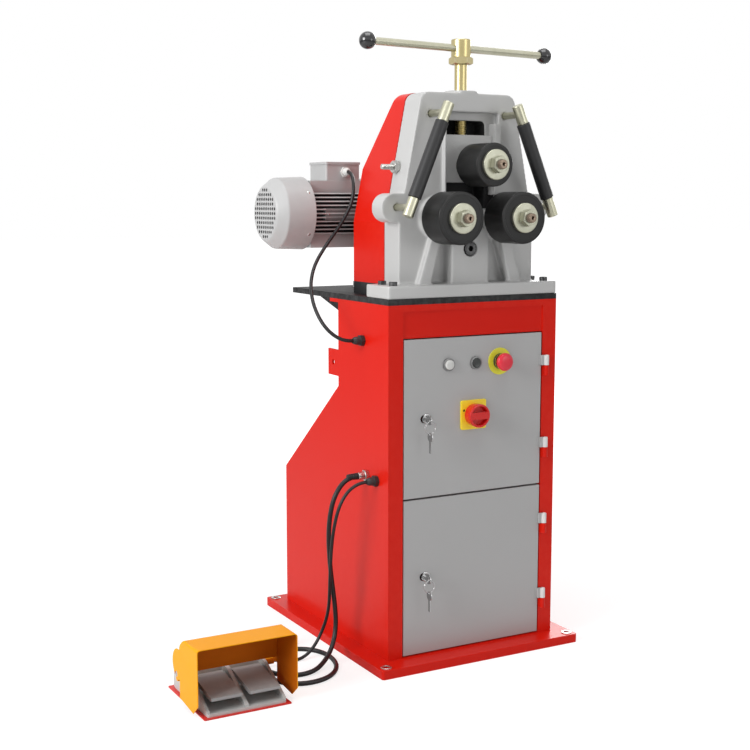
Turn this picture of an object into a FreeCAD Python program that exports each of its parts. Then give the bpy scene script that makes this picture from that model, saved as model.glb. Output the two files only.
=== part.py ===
"""Ring roller: a floor-standing three-roll bending machine on a steel cabinet.

Units are millimetres. X runs to the right, Y to the back, Z up. The origin is on the floor,
in the middle of the four floor-anchor holes of the base tray. The rolls face -Y.
"""
import FreeCAD
import Part
import math
import os

V = FreeCAD.Vector
X_AXIS, Y_AXIS, Z_AXIS = V(1, 0, 0), V(0, 1, 0), V(0, 0, 1)

# ---------------------------------------------------------------- driving dimensions
RUN = 0.05              # radial clearance of a running fit
AIR = 0.3               # gap between pieces that move past each other
EMBED = 1.0             # how far a solid reaches into the one it is fused with

# base tray: a folded pan, open below
TRAY_W, TRAY_D, TRAY_H, TRAY_T = 516.0, 605.0, 20.0, 4.0
ANCHOR_INSET, ANCHOR_R = 18.0, 6.5
ANCHOR_WASHER_R, ANCHOR_WASHER_T = 12.0, 2.0

# cabinet
CAB_W, CAB_TOP, CAB_T = 435.0, 796.0, 2.5
CAB_SETBACK = 50.0                      # tray front edge to cabinet front
CAB_DEPTH_TOP, CAB_DEPTH_BOTTOM = 231.0, 517.0
SLANT_TOP, SLANT_BOTTOM = 598.0, 363.0
LIP_DEPTH, LIP_H = 41.0, 8.0
FRAME_SIDE, FRAME_HEAD, FRAME_DEPTH = 36.0, 72.0, 22.0
HEADER_RECESS, HEADER_RECESS_TOP = 2.5, 14.0
RAIL_Z, RAIL_H = 373.0, 26.0            # shelf rail between the two doors
SHELF_T = 2.0
TAB_T, TAB_H, TAB_OUT, TAB_HOLE_R, TAB_Z = 5.0, 60.0, 50.0, 6.0, 650.0

# electrical plate on the back wall
GEAR_PLATE_W, GEAR_PLATE_H, GEAR_PLATE_T, GEAR_PLATE_DROP = 300.0, 160.0, 3.0, 26.0
CONTACTOR_LEFT, CONTACTOR_W, CONTACTOR_H, CONTACTOR_D, CONTACTOR_GAP = (-130.0, -78.0), 44.0, 70.0, 78.0, 10.0
RELAY_LEFT, RELAY_W, RELAY_D = -26.0, 22.0, 60.0
CORE_LEFT, CORE_SIZE, CORE_D = 30.0, 90.0, 70.0
DUCT_H, DUCT_D, DUCT_GAP = 35.0, 8.0, 15.0

# doors
DOOR_GAP, DOOR_T, DOOR_SHEET = 2.6, 20.0, 2.0
DOOR_SPLIT_GAP = 4.0
HINGE_OUT, HINGE_R, HINGE_PIN_R, HINGE_LEN = 6.5, 6.0, 3.0, 23.0
HINGE_X_OFF = 7.0                       # hinge axis beyond the door opening's edge
STRAP_T, STRAP_REACH = 1.6, 17.0
HINGE_DROP_UPPER, HINGE_DROP_LOWER = (77.0, 265.0), (91.0, 268.0)   # below the top of each opening
LOCK_X, LOCK_DROP = -129.0, 176.0
LOCK_R, LOCK_FLANGE_R, LOCK_FLANGE_T, LOCK_PLUG_R = 9.0, 11.0, 2.5, 6.5
CAM_LEN, CAM_W, CAM_T, CAM_GAP = 62.0, 14.0, 2.5, 2.0
KEY_T, KEY_HEAD_R, KEY_SHANK, KEY_BLADE = 2.0, 10.0, 12.0, 25.0
KEY_HOLE_R, KEY_RING_R, KEY_RING_WIRE, KEY_HANG = 3.0, 13.0, 0.9, 2.0

# controls on the upper door
CONTROL_DROP = 61.0                     # below the top of the door opening
LAMP_X, BUTTON_X, STOP_X = -68.0, 2.0, 65.0
PANEL_HOLE_R = 11.0
BEZEL_R, BEZEL_T = 14.5, 5.0
LAMP_R, LAMP_OUT, BUTTON_R, BUTTON_OUT, BUTTON_TRAVEL = 11.0, 9.0, 10.5, 7.0, 4.0
STOP_DISC_R, STOP_DISC_T, STOP_HEAD_R, STOP_HEAD_T = 30.0, 2.0, 20.0, 14.0
STOP_NECK_R, STOP_OUT, STOP_TRAVEL = 13.0, 16.0, 6.0
SWITCH_X, SWITCH_DROP, SWITCH_PLATE, SWITCH_PLATE_T = -4.0, 175.0, 65.0, 4.0
SWITCH_KNOB_R, SWITCH_KNOB_T, SWITCH_GRIP_W = 26.0, 26.0, 16.0
SWITCH_POCKET_R, SWITCH_POCKET_DEPTH = 21.5, 11.0
SWITCH_STEM_R = 5.0
BLOCK_W, BLOCK_D = 30.0, 34.0

# slab under the head
SLAB_T, SLAB_D = 12.5, 469.0
RISER_T = 26.0
GUSSET_T, GUSSET_DROP = 8.0, 30.0

# head casting
FLANGE_D, FLANGE_T = 100.0, 28.0
HEAD_SETBACK, HEAD_BACK = 34.0, 100.0
HEAD_RISE = 449.0                        # top of the casting above the cabinet
HEAD_HALF, SHOULDER_RISE, HEAD_TOP_HALF, HEAD_TOP_R = 172.5, 173.0, 118.0, 24.0
EAR_R, EAR_X, EAR_RISE, EAR_DEPTH = 31.0, 184.0, 204.0, 46.0
COLUMN_HALF, COLUMN_PROUD = 48.0, 13.0
BOSS_R, BOSS_PROUD = 46.0, 16.0
RIB_PROUD, RIB_TOP_X, RIB_FOOT_X, RIB_TOP_W, RIB_FOOT_W = 16.0, 97.0, 142.0, 24.0, 34.0
POCKET_DEPTH, POCKET_EDGE, POCKET_TOP_DROP = 16.0, 3.0, 46.5   # drop below the roll axes
TOP_BOSS_R, TOP_BOSS_UP, TOP_BOSS_DOWN = 37.0, 6.0, 14.0
SLIDE_LEFT, SLIDE_RIGHT, GIB_W, GIB_PROUD = 60.0, 62.0, 16.0, 10.0
SLIDE_FRONT_DEPTH, SLIDE_WALL = 16.0, 8.0
SLIDE_CORE_HALF, SLIDE_BOTTOM_RISE, SLIDE_TOP_DROP, WINDOW_DROP, WINDOW_R = 52.0, 17.5, 58.0, 40.0, 10.0
GIB_RISE, GIB_DROP = 49.5, 64.0
GUIDE_STRIP_W = 6.0
HEAD_BOLT_Y = (20.0, 68.0)               # behind the cabinet front
HEAD_BOLT_R, HEAD_BOLT_HEAD_R, HEAD_BOLT_HEAD_T = 5.0, 9.0, 8.0

# rolls
ROLL_R, ROLL_LEN, ROLL_BORE_R, ROLL_CHAMFER = 56.0, 72.0, 15.0, 2.0
UPPER_ROLL_R, UPPER_ROLL_LEN = 46.0, 80.0
ROLL_HALF_PITCH, ROLL_RISE = 79.0, 182.5    # axes above the cabinet
UPPER_RISE, UPPER_FORWARD = 112.0, 4.0
ROLL_BACK = 6.0                          # back face of the lower rolls behind the cabinet front
WASHER_R, WASHER_T = 32.0, 8.0
NUT_AF, NUT_T, THREAD_R, THREAD_OUT = 32.0, 16.0, 10.0, 10.0
CENTRE_DRILL_R, CENTRE_DRILL_DEPTH = 3.0, 6.0
COLLAR_R, COLLAR_LEN = 21.0, 12.0
BEARING_R, BEARING_W, BORE_R = 31.0, 15.0, 24.0

# carriage, pressure screw and tee handle
CARRIAGE_BELOW, CARRIAGE_ABOVE, CARRIAGE_CORE_ABOVE = 36.0, 65.5, 49.5   # from the upper roll axis
SCREW_Y, SCREW_R, SCREW_END_ABOVE = 67.0, 14.0, 36.5
SCREW_COLLAR_RISE, SCREW_COLLAR_T, SCREW_COLLAR_AF = 63.0, 15.0, 46.0   # above the casting
HUB_R, HUB_H = 21.5, 38.0
BAR_R, BAR_HALF, BAR_TURN, BAR_SHIFT = 8.0, 244.0, -8.0, -2.0
BALL_R, BALL_PAST_BAR = 18.0, 6.0

# lateral guide bars
GUIDE_Y_OUT = 58.0                       # bar axis in front of the casting face
GUIDE_TOP_X, GUIDE_TOP_DROP, GUIDE_LOW_X, GUIDE_LOW_RISE = 94.5, 46.0, 178.0, 1.5
GUIDE_ROD_R, GUIDE_BLOCK_R, GUIDE_BLOCK_LEN, GUIDE_SLEEVE_R = 8.0, 12.0, 42.0, 14.5
GUIDE_STUD_R, GUIDE_STUD_DEEP = 7.5, 18.0

# side lock bolt
SIDE_BOLT_RISE, SIDE_BOLT_Y, SIDE_BOLT_R, SIDE_NUT_AF, SIDE_NUT_T = 108.5, 80.0, 6.0, 24.0, 12.0
SIDE_BOLT_OUT, SIDE_BOLT_IN, SIDE_NUT_OFF = 41.0, 30.0, 3.0

# gearing
MODULE, PINION_TEETH, GEAR_TEETH, GEAR_W, BACKLASH = 3.0, 23, 46, 26.0, 0.35
GEAR_CLEARANCE = 0.15
GEAR_FRONT = 18.0                        # gears behind the casting back
SHAFT_TAIL = 14.0
DRIVE_R, DRIVE_FRONT, DRIVE_GAP = 15.0, 20.0, 1.5
DRIVE_SOCKET_AF, DRIVE_SOCKET_DEPTH, DRIVE_BEARING_R = 12.0, 10.0, 26.0

# gear cover
COVER_T, COVER_BACK, COVER_SLOPE_RISE, COVER_TOP_BACK = 3.0, 240.0, 107.0, 141.5
COVER_PROUD, COVER_SHAFT_HOLE_R = 1.0, 22.0

# worm gearbox and motor
BOX_Y, WORM_RISE = 350.0, 75.0
WHEEL_R, WHEEL_W, WHEEL_TEETH, WHEEL_TOOTH = 58.5, 34.0, 60, 3.5
WORM_R, WORM_CORE_R, WORM_PITCH, WORM_LEN = 16.0, 11.5, 6.283, 76.0
BOX_DRUM_R, BOX_HALF_W, BOX_HUB_R, BOX_HUB_HALF = 78.0, 44.0, 34.0, 60.0
BOX_FOOT_HALF, BOX_FOOT_T, BOX_TUBE_R, BOX_TUBE_BORE, BOX_RIGHT = 88.0, 14.0, 38.0, 22.0, 92.0
MOTOR_FLANGE_X, MOTOR_FLANGE_T, MOTOR_FLANGE_R = -105.0, 12.0, 80.0
MOTOR_BODY_LEFT, MOTOR_CORE_R, MOTOR_FIN_R, MOTOR_FIN_T, MOTOR_FIN_PITCH, MOTOR_FIN_N = \
    -262.0, 64.0, 76.0, 3.0, 9.0, 11
MOTOR_PAD_HALF, MOTOR_BORE_R, ROTOR_R, ROTOR_LEN, ROTOR_SHAFT_R = 46.0, 41.0, 40.2, 100.0, 11.0
FAN_COVER_LEFT, FAN_COVER_RIGHT, FAN_COVER_R, FAN_COVER_T = -342.0, -252.0, 83.0, 2.0
FAN_FACE_R, FAN_SHOULDER_X, FAN_SHOULDER_R = 60.0, -318.0, 80.0
FAN_HOLE_R, FAN_HOLE_PITCH, FAN_RING_RADII = 3.2, 12.7, (16.0, 29.0, 42.0, 53.0)
FAN_X, FAN_W, FAN_R, FAN_BLADES = -310.0, 24.0, 66.0, 8
TERM_X0, TERM_X1, TERM_Y0, TERM_Y1, TERM_RISE, TERM_LID = -207.0, -119.0, 310.0, 394.0, 116.6, 6.0

# glands: they sit where the cords' routes end
GLAND_R, GLAND_NECK_R, GLAND_NUT_AF = 9.0, 7.0, 22.0
GLAND_OUT, TERM_GLAND_OUT = 26.0, 18.0

# pedal unit, left of the cabinet on the floor
PED_X, PED_W, PED_Y0, PED_D, PED_PLATE_T = -577.0, 190.0, -72.0, 209.0, 3.0
PED_BASE_W, PED_BASE_Y0, PED_BASE_Y1, PED_FLOOR_T, PED_LIP_H = 172.0, -66.0, 125.0, 6.0, 10.0
PED_BOX_Y0, PED_BOX_TOP, PED_RIB_W, PED_WALL = 34.0, 60.0, 8.0, 6.0
PED_PIN_Y, PED_PIN_Z, PED_PIN_R = 46.0, 42.0, 4.0
PED_TREAD_W, PED_TREAD_Y0, PED_TREAD_T, PED_TREAD_FRONT_Z = 66.0, -60.0, 8.0, 38.0
PED_TRAVEL = 10.0
HOOD_HALF_W, HOOD_T, HOOD_FRONT, HOOD_TOP, HOOD_TOP_BACK = 109.0, 2.0, -69.0, 145.0, 5.0
HOOD_BACK, HOOD_BOTTOM, HOOD_LUG_Y, HOOD_LUG_Z, HOOD_LUG_R = 30.0, 8.0, 38.0, 84.0, 32.0
HOOD_CORNER_R, HOOD_SHELF_Z, HOOD_BOLT_R = 12.0, 66.0, 4.0

# cords: diameters and route points (part frame)
MOTOR_CORD_D, PEDAL_CORD_D, MAINS_CORD_D = 8.0, 7.5, 10.5
MOTOR_ROUTE = [
    (-158, 54, 1080), (-158, 37, 1080), (-160, 21, 1074), (-163, 8, 1063), (-167, -3, 1042),
    (-172, -4, 1012), (-185, 1, 982), (-206, 4, 950), (-237, 0, 915), (-272, -16, 877),
    (-297, -43, 839), (-309, -74, 802), (-309, -99, 771), (-301, -117, 746), (-287, -129, 728),
    (-270, -137, 717), (-251, -140, 713), (-233, -140, 713)]
MAINS_ROUTE = [
    (-232, -160, 417), (-256, -160, 417), (-278, -162, 408), (-295, -165, 391), (-307, -165, 366),
    (-311, -158, 328), (-309, -149, 286), (-304, -143, 241), (-298, -139, 195), (-290, -135, 151),
    (-284, -132, 110), (-283, -132, 78), (-290, -138, 50), (-307, -152, 27), (-334, -175, 15),
    (-365, -196, 8), (-399, -200, 5.3), (-431, -187, 5.3), (-452, -159, 5.3), (-457, -123, 5.3),
    (-448, -87, 5.3), (-424, -58, 5.3), (-391, -41, 5.3), (-355, -40, 5.3), (-325, -53, 5.3),
    (-305, -77, 5.3), (-295, -110, 5.3), (-297, -147, 5.3), (-307, -183, 5.3), (-327, -215, 5.3),
    (-356, -240, 5.3), (-392, -251, 5.3), (-427, -246, 5.3), (-453, -226, 5.3), (-466, -196, 5.3),
    (-472, -163, 5.3), (-474, -130, 5.3), (-478, -99, 5.3), (-480, -68, 6.5), (-472, -39, 10),
    (-453, -16, 15), (-426, -4, 18), (-400, -4, 18)]
PEDAL_ROUTE = [
    (-232, -202, 412), (-250, -202, 412), (-267, -201, 408), (-285, -199, 397), (-300, -197, 377),
    (-309, -193, 352), (-313, -186, 322), (-313, -176, 291), (-311, -166, 259), (-310, -160, 227),
    (-308, -153, 193), (-304, -143, 159), (-298, -128, 125), (-295, -111, 91), (-301, -100, 58),
    (-316, -98, 30), (-337, -103, 12), (-360, -107, 4), (-385, -110, 5), (-414, -112, 12),
    (-444, -110, 18.5), (-473, -103, 18.5), (-498, -92, 18.5), (-524, -82, 20), (-544, -83, 23),
    (-561, -92, 26), (-573, -105, 29), (-580, -122, 30), (-580, -139, 30)]
PLUG_R, PLUG_LEN, PLUG_PIN_R, PLUG_PIN_LEN, PLUG_PIN_GAP = 19.0, 38.0, 2.4, 19.0, 19.0

# ---------------------------------------------------------------- derived places
FRONT = -TRAY_D / 2 + CAB_SETBACK        # cabinet front plane
CAB_HALF = CAB_W / 2
OPEN_HALF = CAB_HALF - FRAME_SIDE
OPEN_TOP, OPEN_BOTTOM = CAB_TOP - FRAME_HEAD, TRAY_H + 2.0
DOOR_HALF = OPEN_HALF - DOOR_GAP
HINGE_X, HINGE_Y = OPEN_HALF + HINGE_X_OFF, FRONT - HINGE_OUT
CONTROL_Z, SWITCH_Z = OPEN_TOP - CONTROL_DROP, OPEN_TOP - SWITCH_DROP
LOCK_Z_UPPER, LOCK_Z_LOWER = OPEN_TOP - LOCK_DROP, RAIL_Z - LOCK_DROP
HINGE_Z_UPPER = tuple(OPEN_TOP - drop for drop in HINGE_DROP_UPPER)
HINGE_Z_LOWER = tuple(RAIL_Z - drop for drop in HINGE_DROP_LOWER)
SLAB_TOP = CAB_TOP + SLAB_T
FLANGE_TOP = SLAB_TOP + FLANGE_T
HEAD_FACE, HEAD_REAR = FRONT + HEAD_SETBACK, FRONT + HEAD_BACK
HEAD_BOLT_X = (HEAD_HALF + CAB_HALF) / 2   # middle of the flange beside the casting
HEAD_TOP, HEAD_SHOULDER_Z = CAB_TOP + HEAD_RISE, CAB_TOP + SHOULDER_RISE
EAR_Z, ROLL_Z = CAB_TOP + EAR_RISE, CAB_TOP + ROLL_RISE
ROLL_Y1 = FRONT + ROLL_BACK
ROLL_Y0 = ROLL_Y1 - ROLL_LEN
UPPER_Z = ROLL_Z + UPPER_RISE
SLIDE_BOTTOM, SLIDE_TOP = ROLL_Z + SLIDE_BOTTOM_RISE, HEAD_TOP - SLIDE_TOP_DROP
WINDOW_TOP = HEAD_TOP - WINDOW_DROP
GIB_BOTTOM, GIB_TOP = ROLL_Z + GIB_RISE, HEAD_TOP - GIB_DROP
CARRIAGE_BOTTOM, CARRIAGE_TOP = UPPER_Z - CARRIAGE_BELOW, UPPER_Z + CARRIAGE_ABOVE
CARRIAGE_CORE_TOP, SCREW_END = UPPER_Z + CARRIAGE_CORE_ABOVE, UPPER_Z + SCREW_END_ABOVE
SCREW_COLLAR_Z = HEAD_TOP + SCREW_COLLAR_RISE
GUIDE_TOP_Z, GUIDE_LOW_Z = HEAD_TOP - GUIDE_TOP_DROP, EAR_Z + GUIDE_LOW_RISE
SIDE_BOLT_Z = ROLL_Z + SIDE_BOLT_RISE
COVER_SLOPE_Z = ROLL_Z + COVER_SLOPE_RISE
COVER_TOP = HEAD_TOP + COVER_PROUD
GEAR_CENTRES = (PINION_TEETH + GEAR_TEETH) * MODULE / 2 + GEAR_CLEARANCE
DRIVE_Z = ROLL_Z - math.sqrt(GEAR_CENTRES ** 2 - ROLL_HALF_PITCH ** 2)
WORM_Z = DRIVE_Z + WORM_RISE
TERM_TOP = WORM_Z + TERM_RISE
GEAR_Y0 = HEAD_REAR + GEAR_FRONT
GEAR_Y1 = GEAR_Y0 + GEAR_W
MOTOR_Y = FRONT + BOX_Y
GUIDE_Y = HEAD_FACE - GUIDE_Y_OUT
SCREW_AXIS_Y = FRONT + SCREW_Y
ANCHOR_X, ANCHOR_Y = TRAY_W / 2 - ANCHOR_INSET, TRAY_D / 2 - ANCHOR_INSET
SLIDE_MID_Y = HEAD_FACE + SLIDE_FRONT_DEPTH
SLIDE_REAR_Y = HEAD_REAR - SLIDE_WALL


# ---------------------------------------------------------------- shape helpers
def box(x0, x1, y0, y1, z0, z1):
    return Part.makeBox(x1 - x0, y1 - y0, z1 - z0, V(x0, y0, z0))


def cyl(radius, start, axis, length):
    return Part.makeCylinder(radius, length, start, axis)


def tube(outer, inner, start, axis, length):
    return cyl(outer, start, axis, length).cut(cyl(inner, start - axis, axis, length + 2))


def corner_radius(before, corner, after, share):
    """The arc radius that takes `share` of the shorter run beside a corner."""
    run_in, run_out = (corner - before), (after - corner)
    turn = run_in.getAngle(run_out)
    return share * min(run_in.Length, run_out.Length) / math.tan(turn / 2)


def rounded_wire(points, radii, closed):
    """Straight runs joined by tangent arcs; radii[i] rounds points[i], 0 leaves it sharp."""
    count = len(points)
    arcs = []
    for i in range(count):
        if radii[i] <= 0 or (not closed and i in (0, count - 1)):
            arcs.append((points[i], None, points[i]))
            continue
        corner = points[i]
        to_before = (points[i - 1] - corner).normalize()
        to_after = (points[(i + 1) % count] - corner).normalize()
        half = to_before.getAngle(to_after) / 2
        reach = radii[i] / math.tan(half)
        bisector = (to_before + to_after).normalize()
        centre = corner + bisector * (radii[i] / math.sin(half))
        arcs.append((corner + to_before * reach, centre - bisector * radii[i],
                     corner + to_after * reach))
    edges = []
    for i in range(count if closed else count - 1):
        leave, arrive = arcs[i][2], arcs[(i + 1) % count][0]
        if (arrive - leave).Length > 1e-6:
            edges.append(Part.LineSegment(leave, arrive).toShape())
        following = arcs[(i + 1) % count]
        if following[1] is not None:
            edges.append(Part.Arc(*following).toShape())
    return Part.Wire(edges)


def prism(outline, radii, axis, start, end):
    """Extrude an outline along Y (points are x, z), X (points are y, z) or Z (points are x, y)."""
    place = {"X": lambda a, b: V(start, a, b), "Y": lambda a, b: V(a, start, b),
             "Z": lambda a, b: V(a, b, start)}[axis]
    direction = {"X": X_AXIS, "Y": Y_AXIS, "Z": Z_AXIS}[axis]
    points = [place(a, b) for a, b in outline]
    if not isinstance(radii, (list, tuple)):
        radii = [radii] * len(points)
    return Part.Face(rounded_wire(points, radii, True)).extrude(direction * (end - start))


def hexagon(across_flats, start, axis, length):
    corner = across_flats / math.sqrt(3)
    side = axis.cross(Z_AXIS if abs(axis.z) < 0.5 else X_AXIS)
    points = []
    for i in range(6):
        spoke = V(side)
        turned = FreeCAD.Rotation(axis, 60 * i).multVec(spoke).normalize()
        points.append(start + turned * corner)
    return Part.Face(Part.makePolygon(points + points[:1])).extrude(axis * length)


def turned(profile, start, axis):
    """A body of revolution; profile holds (distance along the axis, radius) points."""
    side = axis.cross(Z_AXIS if abs(axis.z) < 0.5 else X_AXIS).normalize()
    points = [start + axis * along + side * radius for along, radius in profile]
    face = Part.Face(Part.makePolygon(points + points[:1]))
    return face.revolve(start, axis, 360)


def rounded_box(x0, x1, y0, y1, z0, z1, radius, axis="Z"):
    outline = {"Z": ((x0, y0), (x1, y0), (x1, y1), (x0, y1)),
               "Y": ((x0, z0), (x1, z0), (x1, z1), (x0, z1)),
               "X": ((y0, z0), (y1, z0), (y1, z1), (y0, z1))}[axis]
    ends = {"Z": (z0, z1), "Y": (y0, y1), "X": (x0, x1)}[axis]
    return prism(outline, radius, axis, *ends)


def fused(first, *others):
    shape = first
    for other in others:
        shape = shape.fuse(other)
    return shape.removeSplitter()


def cut_all(shape, *tools):
    for tool in tools:
        shape = shape.cut(tool)
    return shape


def gear(teeth, centre_x, centre_z, y0, y1, phase, bore_r):
    """An involute spur gear about an axis along Y; phase is the angle of one tooth centre."""
    pitch_r = teeth * MODULE / 2
    base_r = pitch_r * math.cos(math.radians(20))
    tip_r, root_r = pitch_r + MODULE * 0.95, pitch_r - 1.25 * MODULE

    def involute(r):
        roll = math.sqrt(max(0.0, (r / base_r) ** 2 - 1))
        return roll - math.atan(roll)

    half_tooth = math.pi / (2 * teeth) - BACKLASH / (2 * pitch_r)
    low_r = max(base_r, root_r)
    steps = 4
    flank = []
    for i in range(steps + 1):
        r = low_r + (tip_r - low_r) * i / steps
        flank.append((r, half_tooth + involute(pitch_r) - involute(r)))
    outline = []
    for k in range(teeth):
        middle = math.radians(phase) + 2 * math.pi * k / teeth
        side = [(root_r, flank[0][1])] if root_r < low_r else []
        for r, half in side + flank:
            outline.append((r, middle - half))
        for r, half in reversed(side + flank):
            outline.append((r, middle + half))
    points = [(centre_x + r * math.cos(a), centre_z + r * math.sin(a)) for r, a in outline]
    wheel = prism(points, 0, "Y", y0, y1)
    return wheel.cut(cyl(bore_r, V(centre_x, y0 - 1, centre_z), Y_AXIS, y1 - y0 + 2))


PARTS = {}


def save(name, *solids):
    """One node: one solid, or a compound of the separate solids that share the node."""
    shape = solids[0] if len(solids) == 1 else Part.makeCompound(list(solids))
    PARTS[name] = shape
    shape.exportStep("parts/" + name + ".step")
    print("%-24s solids %d volume %.0f valid %s" % (
        name, len(shape.Solids), shape.Volume, shape.isValid()))


# ---------------------------------------------------------------- base and cabinet
def make_base_tray():
    half_w, half_d = TRAY_W / 2, TRAY_D / 2
    pan = rounded_box(-half_w, half_w, -half_d, half_d, 0, TRAY_H, 6)
    hollow = box(-half_w + TRAY_T, half_w - TRAY_T, -half_d + TRAY_T, half_d - TRAY_T,
                 -1, TRAY_H - TRAY_T)
    shape = pan.cut(hollow)
    for x in (-ANCHOR_X, ANCHOR_X):
        for y in (-ANCHOR_Y, ANCHOR_Y):
            shape = shape.fuse(cyl(ANCHOR_WASHER_R, V(x, y, 0), Z_AXIS, TRAY_H - 1))
            shape = shape.cut(cyl(ANCHOR_R, V(x, y, -1), Z_AXIS, TRAY_H + 2))
    save("base_tray", shape.removeSplitter())
    washers = [tube(ANCHOR_WASHER_R, ANCHOR_R, V(x, y, TRAY_H), Z_AXIS, ANCHOR_WASHER_T)
               for x in (-ANCHOR_X, ANCHOR_X) for y in (-ANCHOR_Y, ANCHOR_Y)]
    save("anchor_washers", *washers)


def cabinet_profile(inset):
    """Side outline of the cabinet: upright back, slant, deep foot."""
    top, foot = FRONT + CAB_DEPTH_TOP - inset, FRONT + CAB_DEPTH_BOTTOM - inset
    return [(FRONT + inset, TRAY_H), (foot, TRAY_H), (foot, SLANT_BOTTOM - inset * 0.5),
            (top, SLANT_TOP - inset * 0.5), (top, CAB_TOP - inset), (FRONT + inset, CAB_TOP - inset)]


def make_cabinet():
    shell = prism(cabinet_profile(0), 0, "X", -CAB_HALF, CAB_HALF)
    inner = cabinet_profile(CAB_T)
    inner[0], inner[1] = (inner[0][0], TRAY_H - 1), (inner[1][0], TRAY_H - 1)
    shell = shell.cut(prism(inner, 0, "X", -CAB_HALF + CAB_T, CAB_HALF - CAB_T))
    # lips folded back round the door opening, and a header panel set back above it
    lips = box(-OPEN_HALF - CAB_T, OPEN_HALF + CAB_T, FRONT, FRONT + FRAME_DEPTH,
               TRAY_H, OPEN_TOP + CAB_T)
    header = box(-OPEN_HALF - EMBED, OPEN_HALF + EMBED, FRONT + HEADER_RECESS,
                 FRONT + HEADER_RECESS + CAB_T, OPEN_TOP, CAB_TOP - CAB_T)
    shell = shell.fuse(lips).fuse(header)
    shell = shell.cut(box(-OPEN_HALF, OPEN_HALF, FRONT - 1, FRONT + FRAME_DEPTH + 1,
                          OPEN_BOTTOM, OPEN_TOP))
    shell = shell.cut(box(-OPEN_HALF, OPEN_HALF, FRONT - 1, FRONT + HEADER_RECESS,
                          OPEN_TOP - 1, CAB_TOP - HEADER_RECESS_TOP))
    lip_y = FRONT + CAB_DEPTH_TOP
    lip = box(-CAB_HALF, CAB_HALF, lip_y - EMBED, lip_y + LIP_DEPTH, CAB_TOP - LIP_H, CAB_TOP)
    tab = box(-CAB_HALF, -CAB_HALF + TAB_T, lip_y - EMBED, lip_y + TAB_OUT,
              TAB_Z - TAB_H / 2, TAB_Z + TAB_H / 2)
    tab = tab.cut(cyl(TAB_HOLE_R, V(-CAB_HALF - 1, lip_y + TAB_OUT / 2, TAB_Z), X_AXIS, TAB_T + 2))
    shell = shell.fuse(lip).fuse(tab)
    for _, y, z in (MOTOR_ROUTE[-1], MAINS_ROUTE[0], PEDAL_ROUTE[0]):
        shell = shell.cut(cyl(GLAND_NECK_R, V(-CAB_HALF - 1, y, z), X_AXIS, CAB_T + 2))
    knuckles = [hinge_side(z, False) for z in HINGE_Z_UPPER + HINGE_Z_LOWER]
    save("cabinet_shell", shell.removeSplitter(), *knuckles)


def make_shelf():
    """Sheet shelf between the compartments, with a folded rail behind the door gap."""
    depth = FRONT + CAB_DEPTH_BOTTOM - CAB_T - EMBED
    y0 = FRONT + FRAME_DEPTH
    edge = CAB_HALF - CAB_T
    plate_z = RAIL_Z - RAIL_H / 2
    plate = box(-edge, edge, y0, depth, plate_z, plate_z + SHELF_T)
    rail = box(-edge, edge, y0, y0 + SHELF_T, plate_z, plate_z + RAIL_H)
    save("cabinet_shelf", fused(plate, rail))


def make_switchgear():
    """Mounting plate on the cabinet's back wall with contactors, a relay and a transformer."""
    back = FRONT + CAB_DEPTH_TOP - CAB_T
    face = back - GEAR_PLATE_T
    plate_top = CAB_TOP - GEAR_PLATE_DROP
    plate = box(-GEAR_PLATE_W / 2, GEAR_PLATE_W / 2, face, back, plate_top - GEAR_PLATE_H, plate_top)
    unit_top = plate_top - CONTACTOR_GAP
    units = [box(x, x + CONTACTOR_W, face - CONTACTOR_D, face, unit_top - CONTACTOR_H, unit_top)
             for x in CONTACTOR_LEFT]
    relay = box(RELAY_LEFT, RELAY_LEFT + RELAY_W, face - RELAY_D, face, unit_top - CONTACTOR_H, unit_top)
    core_top = plate_top - 4 * CONTACTOR_GAP
    transformer = box(CORE_LEFT, CORE_LEFT + CORE_SIZE, face - CORE_D, face, core_top - CORE_SIZE, core_top)
    duct_top = unit_top - CONTACTOR_H - DUCT_GAP
    rail = box(CONTACTOR_LEFT[0] - CONTACTOR_GAP, CONTACTOR_GAP, face - DUCT_D, face,
               duct_top - DUCT_H, duct_top)
    save("switchgear", plate, *units, relay, transformer, rail)


# ---------------------------------------------------------------- doors, hinges, locks
def door_pan(z0, z1, holes):
    pan = box(-DOOR_HALF, DOOR_HALF, FRONT, FRONT + DOOR_T, z0, z1)
    pan = pan.cut(box(-DOOR_HALF + DOOR_SHEET, DOOR_HALF - DOOR_SHEET, FRONT + DOOR_SHEET,
                      FRONT + DOOR_T + 1, z0 + DOOR_SHEET, z1 - DOOR_SHEET))
    for x, z, r in holes:
        pan = pan.cut(cyl(r, V(x, FRONT - 1, z), Y_AXIS, DOOR_SHEET + 2))
    return pan


def hinge_side(z_mid, upper):
    """One knuckle: the upper one goes with the door, the lower one carries the pin."""
    half = AIR / 2
    if upper:
        barrel = tube(HINGE_R, HINGE_PIN_R + RUN, V(HINGE_X, HINGE_Y, z_mid + half), Z_AXIS, HINGE_LEN)
        low, high = z_mid + half, z_mid + half + HINGE_LEN
        strap = box(HINGE_X - STRAP_REACH, DOOR_HALF, FRONT - STRAP_T, FRONT, low, high)
        neck = box(DOOR_HALF - STRAP_T * 2, HINGE_X, HINGE_Y, FRONT - STRAP_T * 0.75, low, high)
        hole = cyl(HINGE_PIN_R + RUN, V(HINGE_X, HINGE_Y, z_mid), Z_AXIS, HINGE_LEN + 2)
        return fused(barrel, neck, strap).cut(hole)
    barrel = cyl(HINGE_R, V(HINGE_X, HINGE_Y, z_mid - half - HINGE_LEN), Z_AXIS, HINGE_LEN)
    foot = box(HINGE_X - HINGE_R, HINGE_X + HINGE_R, HINGE_Y, FRONT,
               z_mid - half - HINGE_LEN, z_mid - half)
    pin = cyl(HINGE_PIN_R, V(HINGE_X, HINGE_Y, z_mid - half - EMBED), Z_AXIS, HINGE_LEN)
    return fused(barrel, foot, pin)


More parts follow.
